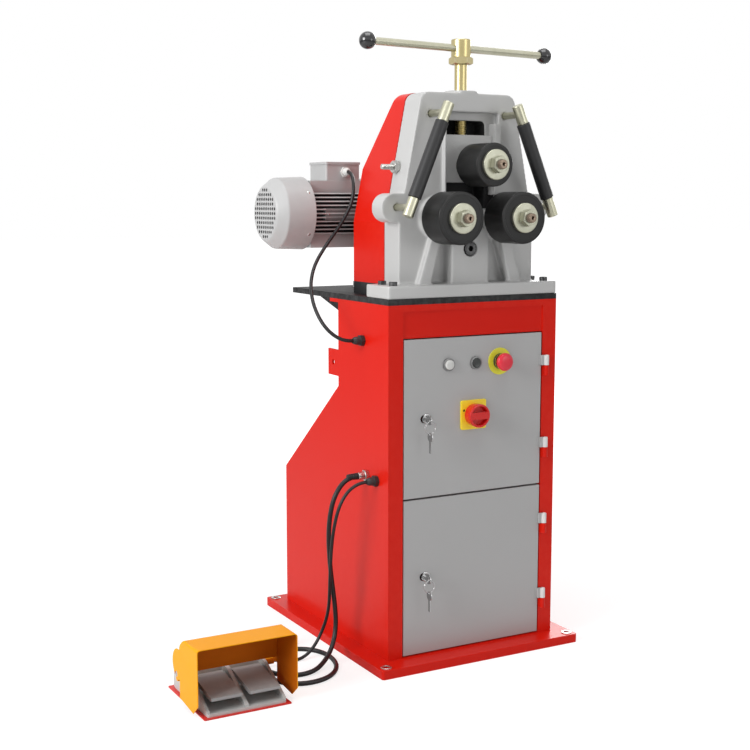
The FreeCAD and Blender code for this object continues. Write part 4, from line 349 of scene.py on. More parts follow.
def finish(name, colour, roughness, metallic=0.0, drift=(6.0, 0.06), spread=0.06, grain=None,
           rub=None, dust=0.0, coat=0.0, coat_roughness=0.05, specular=0.5):
    """A procedural finish. drift is (scale, amount), rub is (colour, amount) and grain is (grain
    scale, ripple scale, ripple share, depth in metres)."""
    material = bpy.data.materials.new(name)
    material.use_nodes = True
    tree = material.node_tree
    shader = tree.nodes["Principled BSDF"]
    place = add_node(tree, "ShaderNodeTexCoord").outputs["Object"]
    drifted = use_group(tree, "drift", {"Vector": place, "Colour": rgba(colour), "Scale": drift[0],
                                        "Amount": drift[1], "Roughness": roughness,
                                        "Spread": spread})
    tone, gloss = drifted["Colour"], drifted["Roughness"]
    if rub:
        rubbed = use_group(tree, "edge", {"Vector": place, "Colour": tone,
                                          "Rub Colour": rgba(rub[0]), "Amount": rub[1]})
        tone = rubbed["Colour"]
    if dust:
        dusted = use_group(tree, "dust", {"Vector": place, "Colour": tone, "Amount": dust})
        tone = dusted["Colour"]
        gloss = math_node(tree, "ADD", gloss,
                          math_node(tree, "MULTIPLY", dusted["Mask"], 0.5), clamp=True)
    tree.links.new(tone, shader.inputs["Base Color"])
    tree.links.new(gloss, shader.inputs["Roughness"])
    if grain:
        grain_scale, ripple_scale, ripple_share, depth = grain
        skin = use_group(tree, "grain", {"Vector": place, "Grain Scale": grain_scale,
                                         "Ripple Scale": ripple_scale,
                                         "Ripple Share": ripple_share})
        bump = add_node(tree, "ShaderNodeBump", {"Strength": 1.0, "Distance": depth,
                                                 "Height": skin["Height"]})
        tree.links.new(bump.outputs[0], shader.inputs["Normal"])
    shader.inputs["Metallic"].default_value = metallic
    shader.inputs["Specular IOR Level"].default_value = specular
    shader.inputs["Coat Weight"].default_value = coat
    shader.inputs["Coat Roughness"].default_value = coat_roughness
    return material


FINISH = {}


def build_finishes():
    c = colours()
    pale = (0.75, 0.75, 0.74)
    FINISH.update({
        "red_paint": finish("machine_red_paint", c.machine_red, 0.32, drift=(3.0, 0.03),
                            grain=(700.0, 160.0, 0.8, 0.00004), coat=0.08, coat_roughness=0.08,
                            specular=0.12, rub=((0.74, 0.04, 0.02), 0.20)),
        "door_paint": finish("door_grey_paint", c.door_grey, 0.42, drift=(5.0, 0.04),
                             grain=(900.0, 300.0, 0.5, 0.00005)),
        "casting_paint": finish("casting_grey_paint", c.casting_grey, 0.40, drift=(9.0, 0.08),
                                grain=(420.0, 110.0, 0.6, 0.00022), rub=(pale, 0.10)),
        "motor_paint": finish("motor_grey_paint", c.motor_grey, 0.42, drift=(12.0, 0.08),
                              grain=(600.0, 200.0, 0.5, 0.00010), rub=(pale, 0.25)),
        "black_slab": finish("blackened_slab", c.slab_black, 0.50, drift=(8.0, 0.12),
                             grain=(700.0, 90.0, 0.4, 0.00006), rub=((0.16, 0.16, 0.16), 0.25),
                             specular=0.08),
        "black_bolt": finish("black_oxide_bolt", (0.022, 0.022, 0.023), 0.35, metallic=0.6,
                             drift=(60.0, 0.2), rub=((0.35, 0.35, 0.35), 0.35)),
        "zinc": finish("yellow_zinc_plating", c.zinc_yellow, 0.30, metallic=1.0,
                       drift=(30.0, 0.22), spread=0.12, grain=(1500.0, 400.0, 0.4, 0.00002),
                       rub=((0.80, 0.78, 0.68), 0.30)),
        "bright": finish("bright_turned_steel", c.bright_steel, 0.26, metallic=1.0,
                         drift=(40.0, 0.12), spread=0.12, grain=(1600.0, 500.0, 0.3, 0.00002)),
        "roll": finish("blackened_roll_steel", c.roll_black, 0.36, drift=(12.0, 0.15),
                       spread=0.05, grain=(1200.0, 300.0, 0.4, 0.00002),
                       rub=((0.10, 0.10, 0.10), 0.4), specular=0.3),
        "gear_steel": finish("hobbed_gear_steel", (0.42, 0.42, 0.41), 0.34, metallic=1.0,
                             drift=(50.0, 0.15), spread=0.1),
        "bronze": finish("worm_wheel_bronze", (0.58, 0.40, 0.17), 0.34, metallic=1.0,
                         drift=(40.0, 0.15), spread=0.1),
        "chrome": finish("lock_chrome", (0.46, 0.46, 0.46), 0.2, metallic=1.0, drift=(80.0, 0.08),
                         spread=0.08),
        "signal_red": finish("signal_red_moulding", c.signal_red, 0.28, drift=(30.0, 0.05),
                             grain=(1800.0, 500.0, 0.4, 0.00002)),
        "signal_yellow": finish("signal_yellow_moulding", c.signal_yellow, 0.36,
                                drift=(30.0, 0.05), grain=(1800.0, 500.0, 0.4, 0.00002)),
        "black_plastic": finish("black_moulding", (0.022, 0.022, 0.023), 0.46, drift=(30.0, 0.2),
                                grain=(1500.0, 400.0, 0.3, 0.00003)),
        "ball_plastic": finish("ball_knob_moulding", (0.012, 0.012, 0.013), 0.12,
                               drift=(20.0, 0.1), coat=0.5, coat_roughness=0.03),
        "sleeve_rubber": finish("sleeve_rubber", (0.020, 0.020, 0.021), 0.44, drift=(20.0, 0.15),
                                grain=(1400.0, 350.0, 0.5, 0.00005), specular=0.4),
        "cable_rubber": finish("cable_rubber", (0.012, 0.012, 0.013), 0.40, drift=(30.0, 0.2),
                               grain=(1200.0, 300.0, 0.5, 0.00005), specular=0.35),
        "hood_paint": finish("hood_orange_paint", c.hood_orange, 0.34, drift=(9.0, 0.07),
                             grain=(600.0, 140.0, 0.7, 0.00006),
                             specular=0.05, rub=((0.92, 0.42, 0.02), 0.2)),
        "pedal_base": finish("pedal_base_casting", (0.50, 0.50, 0.49), 0.5, drift=(40.0, 0.3),
                             grain=(700.0, 220.0, 0.5, 0.0001)),
        "pedal_paint": finish("pedal_grey_paint", c.pedal_grey, 0.46, drift=(18.0, 0.14),
                              grain=(500.0, 130.0, 0.5, 0.00016), rub=((0.5, 0.5, 0.5), 0.3),
                              dust=0.06),
        "grey_plastic": finish("grey_moulding", (0.44, 0.44, 0.42), 0.45, drift=(30.0, 0.06),
                               grain=(1500.0, 400.0, 0.3, 0.00003)),
        # near-black finish that paints the shade of the slideways, the fin roots and the inside of
        # the fan cover
        "painted_shade": finish("painted_shade_black", (0.035, 0.035, 0.036), 0.70, drift=(20.0, 0.3),
                         grain=(600.0, 200.0, 0.5, 0.0001), specular=0.2),
        # darker orange that paints the shade inside the pedal hood
        "hood_inside_shade": finish("hood_painted_shade", (0.50, 0.12, 0.004), 0.55,
                              drift=(9.0, 0.07), specular=0.05),
        "disc_yellow": finish("stop_disc_yellow", (0.74, 0.72, 0.04), 0.40, drift=(30.0, 0.05)),
        "stop_red": finish("stop_button_red", (0.70, 0.022, 0.045), 0.30, drift=(30.0, 0.05),
                           grain=(1800.0, 500.0, 0.4, 0.00002)),
        # near-black grey that paints the shade on the pad on the motor's flank
        "pad_shade_grey": finish("pad_painted_shade_grey", (0.11, 0.11, 0.11), 0.5, drift=(20.0, 0.1)),
        "control_grey": finish("control_ring_grey", (0.22, 0.22, 0.22), 0.36, metallic=0.6,
                               drift=(50.0, 0.1)),
        "plate_paint": finish("pedal_plate_paint", c.machine_red, 0.36, drift=(7.0, 0.1),
                              grain=(700.0, 160.0, 0.8, 0.00006), specular=0.35,
                              rub=((0.74, 0.06, 0.04), 0.25), dust=0.06),
        "zinc_washer": finish("washer_zinc_plating", (0.40, 0.40, 0.315), 0.42, metallic=1.0,
                              drift=(40.0, 0.2), spread=0.12,
                              grain=(1500.0, 400.0, 0.4, 0.00002), rub=((0.7, 0.7, 0.62), 0.3)),
        "zinc_pale": finish("pale_zinc_plating", c.zinc_pale, 0.34, metallic=1.0,
                            drift=(40.0, 0.2), spread=0.12, grain=(1500.0, 400.0, 0.4, 0.00002),
                            rub=((0.82, 0.81, 0.74), 0.3)),
        "shaft": finish("browned_shaft_steel", (0.22, 0.17, 0.13), 0.36, metallic=1.0,
                        drift=(60.0, 0.3), spread=0.15, grain=(1600.0, 500.0, 0.3, 0.00002)),
        "hinge_white": finish("hinge_white_paint", (0.68, 0.68, 0.67), 0.36, drift=(40.0, 0.06),
                              grain=(1200.0, 300.0, 0.4, 0.00003), rub=(pale, 0.2)),
        "lamp_lens": finish("lamp_lens_moulding", (0.62, 0.62, 0.60), 0.22, drift=(40.0, 0.04),
                            coat=0.4),
        "white_plastic": finish("white_moulding", (0.66, 0.66, 0.64), 0.40, drift=(40.0, 0.05),
                                grain=(1500.0, 400.0, 0.3, 0.00003)),
        "button_cap": finish("button_cap_moulding", (0.030, 0.034, 0.033), 0.30,
                             drift=(40.0, 0.1)),
        "green_plastic": finish("start_button_moulding", (0.02, 0.13, 0.05), 0.3,
                                drift=(30.0, 0.05)),
    })


NODE_FINISH = {
    "red_paint": ["base_tray", "cabinet_shell", "cabinet_shelf", "gear_cover", "pedal_base_plate"],
    "door_paint": ["door_upper", "door_lower"],
    "casting_paint": ["head_casting", "carriage"],
    "motor_paint": ["shaft_bearings", "gearbox_housing", "motor_housing", "fan_cover",
                    "terminal_box"],
    "black_slab": ["top_slab"],
    "black_bolt": ["head_bolts", "drive_shaft"],
    "zinc": ["guide_rods", "pressure_screw", "handle_bar", "roll_nut_upper", "roll_nut_lower_left",
             "roll_nut_lower_right"],
    "bright": ["anchor_washers", "gib_strip", "side_lock_bolt", "carriage_bearings",
               "door_fittings_upper", "door_fittings_lower", "control_bezels", "shaft_upper",
               "shaft_lower_left", "shaft_lower_right"],
    "roll": ["roller_upper", "roller_lower_left", "roller_lower_right"],
    "gear_steel": ["driven_gear_lower_left", "driven_gear_lower_right", "motor_rotor"],
    "bronze": ["worm_wheel"],
    "chrome": ["lock_key_upper", "lock_key_lower"],
    "signal_red": ["estop_head", "switch_knob"],
    "signal_yellow": ["switch_backplates"],
    "black_plastic": ["contact_blocks", "mains_plug"],
    "ball_plastic": ["ball_knobs"],
    "sleeve_rubber": ["guide_sleeve_left", "guide_sleeve_right"],
    "cable_rubber": ["motor_cable", "pedal_cable", "mains_cable"],
    "hood_paint": ["pedal_hood"],
    "pedal_paint": ["pedal_housing", "pedal_left", "pedal_right"],
    "grey_plastic": ["switchgear", "cable_glands"],
    "green_plastic": ["push_button"],
}


def paint(piece, key):
    piece.data.materials.clear()
    piece.data.materials.append(FINISH[key])


# ------------------------------------------------------------------ modelling helpers
def deselect():
    if bpy.context.object and bpy.context.object.mode != "OBJECT":
        bpy.ops.object.mode_set(mode="OBJECT")
    bpy.ops.object.select_all(action="DESELECT")


def activate(piece):
    deselect()
    piece.select_set(True)
    bpy.context.view_layer.objects.active = piece


def edit(piece):
    activate(piece)
    bpy.ops.object.mode_set(mode="EDIT")
    bpy.ops.mesh.select_mode(type="VERT")
    bpy.ops.mesh.select_all(action="SELECT")


def leave_edit():
    bpy.ops.object.mode_set(mode="OBJECT")


def settle(piece):
    """Puts a piece's place, turn and scale into its mesh, so its object sits at the origin."""
    activate(piece)
    bpy.ops.object.transform_apply(location=True, rotation=True, scale=True)
    return piece


def corners(node):
    """Low and high corner of a node's box in millimetres."""
    low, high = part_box(node)
    return Vector(low) / MM, Vector(high) / MM


def centre_of(node):
    low, high = corners(node)
    return (low + high) / 2


def apply_modifier(piece, kind, **settings):
    activate(piece)
    modifier = piece.modifiers.new(kind.lower(), kind)
    for key, value in settings.items():
        setattr(modifier, key, value)
    bpy.ops.object.modifier_apply(modifier=modifier.name)
    return piece


def shade(piece, angle):
    """Smooth shading but for the edges sharper than an angle in degrees."""
    activate(piece)
    bpy.ops.object.shade_smooth_by_angle(angle=math.radians(angle), keep_sharp_edges=False)


def smooth(piece):
    """Smooth shading with sharp edges kept and large flats kept flat."""
    shade(piece, 32.0)
    apply_modifier(piece, "WEIGHTED_NORMAL", keep_sharp=True, weight=50)
    return piece


def seat(piece, body, key, slot, *nodes):
    """Finishes a piece: its paint, its body and the nodes it stands for. The slot is not used."""
    paint(piece, key)
    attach(piece, body)
    if nodes:
        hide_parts(*nodes)
    return piece


def merged_copy(node, name, whole=True):
    """A copy of a node's mesh with its loose triangles merged. Its flats are made whole, unless
    a flat has so many holes that one face can't carry them."""
    piece = bpy.data.objects.new(name, NODES[node].data.copy())
    bpy.context.scene.collection.objects.link(piece)
    edit(piece)
    bpy.ops.mesh.remove_doubles(threshold=0.00002)
    if whole:
        bpy.ops.mesh.dissolve_limited(angle_limit=math.radians(0.6))
    leave_edit()
    return piece


def soften(piece, width, segments=2, angle=30.0):
    """Rounds the edges of a piece that are sharper than an angle; width is in millimetres."""
    apply_modifier(piece, "BEVEL", width=width * MM, segments=segments, limit_method="ANGLE",
                   angle_limit=math.radians(angle), use_clamp_overlap=True,
                   miter_outer="MITER_ARC")
    return smooth(piece)


def soften_chosen(piece, width, segments, chosen):
    """Rounds the edges whose two ends, given in millimetres, the chosen test takes."""
    weights = piece.data.attributes.new("bevel_weight_edge", "FLOAT", "EDGE")
    for edge in piece.data.edges:
        one, two = (piece.data.vertices[i].co / MM for i in edge.vertices)
        weights.data[edge.index].value = 1.0 if chosen(one, two) else 0.0
    apply_modifier(piece, "BEVEL", width=width * MM, segments=segments, limit_method="WEIGHT",
                   miter_outer="MITER_ARC")


def soften_rim(piece, node, width):
    """Rounds only the outer rim of a panel, so that the holes in it leave its flats alone."""
    straight, near = 0.01, 0.05
    ends = corners(node)

    def on_rim(one, two):
        step = two - one
        across = abs(step.x) < straight and abs(step.z) < straight
        return (abs(step.y) < straight or across) and any(
            max(abs(one[axis] - end[axis]), abs(two[axis] - end[axis])) < near
            for axis in (0, 2) for end in ends)

    soften_chosen(piece, width, segments=3, chosen=on_rim)
    return smooth(piece)


def circle(name, radius, sides, filled):
    deselect()
    bpy.ops.mesh.primitive_circle_add(vertices=sides, radius=radius * MM, location=(0, 0, 0),
                                      fill_type="NGON" if filled else "NOTHING")
    piece = bpy.context.object
    piece.name = piece.data.name = name
    edit(piece)
    return piece


def lathe(name, start, toward, profile, sides=64, hollow=False, turn=0.0):
    """A turned piece: a circle is drawn out along its axis and scaled at each step of the profile,
    which holds (distance, radius) pairs in millimetres. A hollow one ends where it began."""
    at, radius = profile[0]
    piece = circle(name, radius, sides, not hollow)
    for along, reach in profile[1:]:
        bpy.ops.mesh.extrude_region_move(
            TRANSFORM_OT_translate={"value": (0, 0, (along - at) * MM)})
        if abs(reach - radius) > SAME_SIZE:
            share = reach / radius
            bpy.ops.transform.resize(value=(share, share, 1), center_override=(0, 0, 0))
        at, radius = along, reach
    bpy.ops.mesh.select_all(action="SELECT")
    if hollow:
        bpy.ops.mesh.remove_doubles(threshold=0.000004)
    bpy.ops.mesh.normals_make_consistent(inside=False)
    leave_edit()
    return lay(piece, start + toward.normalized() * profile[0][0], toward, turn)


def lay(piece, start, toward, turn=0.0):
    """Turns a piece's Z axis toward a direction, moves it to its start and settles it."""
    piece.rotation_mode = "QUATERNION"
    piece.rotation_quaternion = (toward.to_track_quat("Z", "Y")
                                 @ Quaternion((0, 0, 1), math.radians(turn)))
    piece.location = start * MM
    return smooth(settle(piece))


def block(name, low, high, width=0.0, segments=2):
    """A box between two corners in millimetres with rounded edges."""
    deselect()
    bpy.ops.mesh.primitive_cube_add(size=1, location=(low + high) / 2 * MM)
    piece = bpy.context.object
    piece.name = piece.data.name = name
    piece.scale = (high - low) * MM
    settle(piece)
    return soften(piece, width, segments) if width else smooth(piece)


def carve(piece, *cutters, operation="DIFFERENCE"):
    """Cuts or intersects a piece with others, which are then removed."""
    for cutter in cutters:
        apply_modifier(piece, "BOOLEAN", operation=operation, object=cutter, solver="EXACT")
        bpy.data.objects.remove(cutter, do_unlink=True)
    edit(piece)
    bpy.ops.mesh.remove_doubles(threshold=0.000003)
    leave_edit()
    return smooth(piece)


def gather(name, pieces):
    """Joins pieces that are one part or one set of like parts."""
    deselect()
    for piece in pieces:
        piece.select_set(True)
    bpy.context.view_layer.objects.active = pieces[0]
    bpy.ops.object.join()
    joined = bpy.context.object
    joined.name = joined.data.name = name
    return joined


def twin(piece, name, shift):
    """A copy with its own mesh, moved by a shift in millimetres."""
    activate(piece)
    bpy.ops.object.duplicate(linked=False)
    other = bpy.context.object
    other.name = other.data.name = name
    other.location = shift * MM
    return settle(other)


def mirrored(piece, name):
    """A copy with its own mesh on the other side of the middle plane of the machine."""
    other = twin(piece, name, Vector((0, 0, 0)))
    other.scale = (-1, 1, 1)
    settle(other)
    edit(other)
    bpy.ops.mesh.normals_make_consistent(inside=False)
    leave_edit()
    return smooth(other)


def around_x(degrees):
    """Direction square to the X axis at an angle from +Y."""
    angle = math.radians(degrees)
    return Vector((0, math.cos(angle), math.sin(angle)))


def darken(piece, chosen, key="painted_shade"):
    """Faces that the chosen test takes get a second finish; by default the near-black one that
    paints shade where little light reaches.
    """
    piece.data.materials.append(FINISH[key])
    for face in piece.data.polygons:
        if chosen(face.center / MM, face.normal):
            face.material_index = 1


def hexagon(name, start, toward, across_flats, length, chamfer=1.6, bore=0.0, turn=0.0,
            both=True):
    """A hexagon bar or nut with its corners turned off by a cone at one end or both."""
    corner = across_flats / math.sqrt(3)
    bar = lathe(name, start, toward, [(0, corner), (length, corner)], sides=6, turn=turn)
    wide, lip = corner + 1.0, across_flats / 2 - 0.2
    rise = (wide - lip) * math.tan(math.radians(30))
    profile = [(0, lip), (rise, wide)]
    profile += [(length - rise, wide), (length, lip)] if both else [(length, wide)]
    carve(bar, lathe(name + "_cone", start, toward, profile, sides=72), operation="INTERSECT")
    if bore:
        carve(bar, lathe(name + "_bore", start, toward,
                         [(-1, bore + 1.0 + chamfer), (chamfer, bore), (length - chamfer, bore),
                          (length + 1, bore + 1.0 + chamfer)], sides=48))
    return bar


def thread(name, start, toward, radius, pitch, length, depth=None, sides=28, chamfer=1.2):
    """A right-hand thread: its tooth is drawn from one point, wound up and cut to length."""
    flat, flank = 0.12, 0.32
    depth = depth or pitch * 0.58
    root = radius - depth
    deselect()
    bpy.ops.mesh.primitive_plane_add(size=0.001, location=(0, 0, 0))
    piece = bpy.context.object
    piece.name = piece.data.name = name
    edit(piece)
    bpy.ops.mesh.merge(type="CENTER")
    bpy.ops.transform.translate(value=(root * MM, 0, -2 * pitch * MM))
    for out, rise in ((0, flat), (depth, flank), (0, flat), (-depth, flank), (0, flat)):
        bpy.ops.mesh.extrude_region_move(
            TRANSFORM_OT_translate={"value": (out * MM, 0, rise * pitch * MM)})
    leave_edit()
    apply_modifier(piece, "SCREW", axis="Z", angle=math.tau, screw_offset=pitch * MM,
                   iterations=int(length / pitch) + 4, steps=sides, render_steps=sides,
                   use_merge_vertices=False, use_smooth_shade=True)
    edit(piece)
    bpy.ops.mesh.remove_doubles(threshold=0.000005)
    for height, side in ((0.0, -1), (length, 1)):
        bpy.ops.mesh.select_all(action="SELECT")
        bpy.ops.mesh.bisect(plane_co=(0, 0, height * MM), plane_no=(0, 0, side), use_fill=True,
                            clear_outer=True)
    bpy.ops.mesh.select_all(action="SELECT")
    bpy.ops.mesh.normals_make_consistent(inside=False)
    leave_edit()
    wide = radius + 0.2
    carve(piece, lathe(name + "_end", Vector((0, 0, 0)), Z_AXIS,
                       [(0, root - 0.3), (chamfer, wide), (length + 1, wide)], sides=48),
          operation="INTERSECT")
    return lay(piece, start, toward)


def socket_screw(name, start, toward, head_r, head_h, socket_af):
    """Head of a socket cap screw; its underside is at the start and it stands out toward."""
    edge, corner = 0.5, socket_af / math.sqrt(3)
    head = lathe(name, start, toward, [(0, head_r), (head_h - edge, head_r),
                                       (head_h, head_r - edge)], sides=40)
    recess = lathe(name + "_socket", start + toward * (head_h * 0.45), toward,
                   [(0, corner), (head_h, corner)], sides=6)
    return carve(head, recess)


def pan_screw(name, start, toward, head_r, head_h, turn=0.0):
    """Domed screw head with a cross recess."""
    dome = [(head_h * math.sin(a), head_r * math.cos(a) + 0.01)
            for a in (0, 0.35, 0.7, 1.0, 1.25, 1.45)]
    head = lathe(name, start, toward, [(0, head_r)] + dome[1:], sides=28)
    half, slot_half, slot_h = head_r * 1.1 / 2, 0.35, 3
    for angle in (turn, turn + 90.0):
        slot = block(name + "_slot", Vector((-half, -slot_half, 0)),
                     Vector((half, slot_half, slot_h)))
        lay(slot, start + toward * (head_h * 0.45), toward, angle)
        carve(head, slot)
    return head


# ------------------------------------------------------------------ pieces
class RINGROLLER_OT_finishes(bpy.types.Operator):
    """Builds the shader groups and finishes and paints the construction nodes."""

    bl_idname = "ring_roller.finishes"
    bl_label = "Finishes"

    def execute(self, context):
        build_groups()
        build_finishes()
        for key, nodes in NODE_FINISH.items():
            for node in nodes:
                paint(NODES[node], key)
        return {"FINISHED"}


class RINGROLLER_OT_cords(bpy.types.Operator):
    """Lays the motor cable, the mains cable and the pedal cable."""

    bl_idname = "ring_roller.cords"
    bl_label = "Cables"

    def execute(self, context):
        for name, cord in CORDS.items():
            curve = bpy.data.curves.new(name + "_line", "CURVE")
            curve.dimensions = "3D"
            spline = curve.splines.new("NURBS")
            spline.points.add(len(cord["route"]) - 1)
            for point, place in zip(spline.points, cord["route"]):
                point.co = (*(value * MM for value in place), 1.0)
            spline.order_u = 3
            spline.use_endpoint_u = True
            spline.resolution_u = 8
            curve.bevel_depth = cord_radius(name) * MM
            curve.bevel_resolution = 5
            curve.use_fill_caps = True
            piece = bpy.data.objects.new(name + "_run", curve)
            context.scene.collection.objects.link(piece)
            seat(piece, "stand", "cable_rubber", "cable_black", name)
        return {"FINISHED"}


class RINGROLLER_OT_sheet_metal(bpy.types.Operator):
    """Rounds the folds of cabinet, tray, doors and gear cover and the edges of the plates."""

    bl_idname = "ring_roller.sheet_metal"
    bl_label = "Sheet metal"

    # panels whose flats have few enough holes to be made whole
    PLAIN = ("base_tray", "door_lower", "top_slab", "pedal_base_plate")

    def execute(self, context):
        fold = sizes().fold_radius
        for node, width, body, key, slot in (
                ("cabinet_shell", fold * 0.5, "stand", "red_paint", "red_paint"),
                ("base_tray", fold, "stand", "red_paint", "red_paint"),
                ("gear_cover", fold, "stand", "red_paint", "red_paint"),
                ("door_upper", fold * 0.7, "upper_door", "door_paint", "grey_paint"),
                ("door_lower", fold * 0.7, "lower_door", "door_paint", "grey_paint"),
                ("top_slab", 0.8, "stand", "black_slab", "black_steel"),
                ("pedal_base_plate", 0.6, "stand", "plate_paint", "red_paint")):
            piece = merged_copy(node, node + "_folded", whole=node in self.PLAIN)
            if node == "door_upper":
                soften_rim(piece, node, width)
            else:
                soften(piece, width, segments=3)
            seat(piece, body, key, slot, node)
        self.floor_washers()
        return {"FINISHED"}

    def floor_washers(self):
        low, high = corners("anchor_washers")
        reach, bore, tall = 12.0, 6.6, high.z - low.z
        first = Vector((low.x + reach, low.y + reach, low.z))
        washer = lathe("washer", first, Z_AXIS,
                       [(0, bore), (0, reach - 0.2), (0.4, reach), (tall - 0.5, reach),
                        (tall, reach - 0.6), (tall, 7.0), (tall - 0.4, bore), (0, bore)],
                       sides=48, hollow=True)
        across = Vector((high.x - low.x - 2 * reach, 0, 0))
        back = Vector((0, high.y - low.y - 2 * reach, 0))
        rings = [washer] + [twin(washer, "washer_copy", shift)
                            for shift in (across, back, across + back)]
        seat(gather("floor_washers", rings), "stand", "bright", "bright_steel", "anchor_washers")


class RINGROLLER_OT_casting(bpy.types.Operator):
    """Gives the head casting and the slide block their cast fillets and machined edges."""

    bl_idname = "ring_roller.casting"
    bl_label = "Head casting"

    def execute(self, context):
        casting = merged_copy("head_casting", "head_casting_cast")
        apply_modifier(casting, "REMESH", mode="VOXEL", voxel_size=sizes().voxel * MM,
                       adaptivity=0.0)
        apply_modifier(casting, "SMOOTH", factor=0.5, iterations=6)
        apply_modifier(casting, "DECIMATE", decimate_type="COLLAPSE", ratio=0.45)
        shade(casting, 42.0)
        seat(casting, "stand", "casting_paint", "casting_grey", "head_casting")
        slide_foot = corners("carriage")[0]
        slideway_half, slideway_foot, lip = 75, slide_foot.z - 57, slide_foot.z + 2
        slideway_head = corners("head_casting")[1].z - 40
        core = slide_foot.y + 17.5
        # Painted shade: faces deep in the slideway, and those just under the slide block, get the
        # near-black finish.
        darken(casting, lambda at, _: abs(at.x) < slideway_half
               and slideway_foot < at.z < slideway_head
               and (at.y > core or (at.y > core - 9 and at.z < lip)))
        slide = soften(merged_copy("carriage", "slide_block"), 1.2, segments=3)
        seat(slide, "slide_block", "casting_paint", "casting_grey", "carriage")
        # Painted shade: the slide block's faces high up and far back get the near-black finish.
        shelf_y, shelf_z = slide_foot.y + 30, slide_foot.z + 102
        darken(slide, lambda at, _: at.y > shelf_y and at.z > shelf_z)
        self.gib()
        self.flange_bolts()
        self.side_bolt()
        return {"FINISHED"}

    def gib(self):
        low, high = corners("gib_strip")
        strip = block("gib_bar", low, high, width=0.8)
        middle, inset, sunk = (low + high) / 2, 14, 3.0
        screws = [socket_screw("gib_screw", Vector((middle.x, low.y + sunk, z)), -Y_AXIS,
                               head_r=4.5, head_h=sunk, socket_af=4.0)
                  for z in (low.z + inset, middle.z, high.z - inset)]
        seat(gather("gib_assembly", [strip] + screws), "stand", "casting_paint", "bright_steel",
             "gib_strip")

    def flange_bolts(self):
        low, high = corners("head_bolts")
        head_r, head_t = 9.0, 8.0
        bolts = [socket_screw("flange_bolt", Vector((x, y, high.z - head_t)), Z_AXIS, head_r,
                              head_t, socket_af=8.0)
                 for x in (low.x + head_r, high.x - head_r)
                 for y in (low.y + head_r, high.y - head_r)]
        seat(gather("flange_bolt_heads", bolts), "stand", "black_bolt", "black_steel")

    def side_bolt(self):
        low, high = corners("side_lock_bolt")
        tip = centre_of("side_lock_bolt")
        tip.x = low.x
        across = min(high.z - low.z, high.y - low.y)
        radius, pitch, nut_from, nut_t, washer_r, washer_t = 6.0, 1.75, 27.0, 12.0, 12.6, 2.4
        rod = thread("side_thread", tip, X_AXIS, radius, pitch, high.x - low.x - 2, chamfer=1.0)
        nut = hexagon("side_nut", tip + X_AXIS * nut_from, X_AXIS, across, nut_t,
                      bore=radius - 0.4)
        washer = lathe("side_washer", tip + X_AXIS * (nut_from + nut_t), X_AXIS,
                       [(0, radius), (0, washer_r), (washer_t, washer_r), (washer_t, radius),
                        (0, radius)], hollow=True, sides=48)
        seat(gather("side_bolt_set", [rod, nut, washer]), "stand", "bright", "bright_steel",
             "side_lock_bolt")


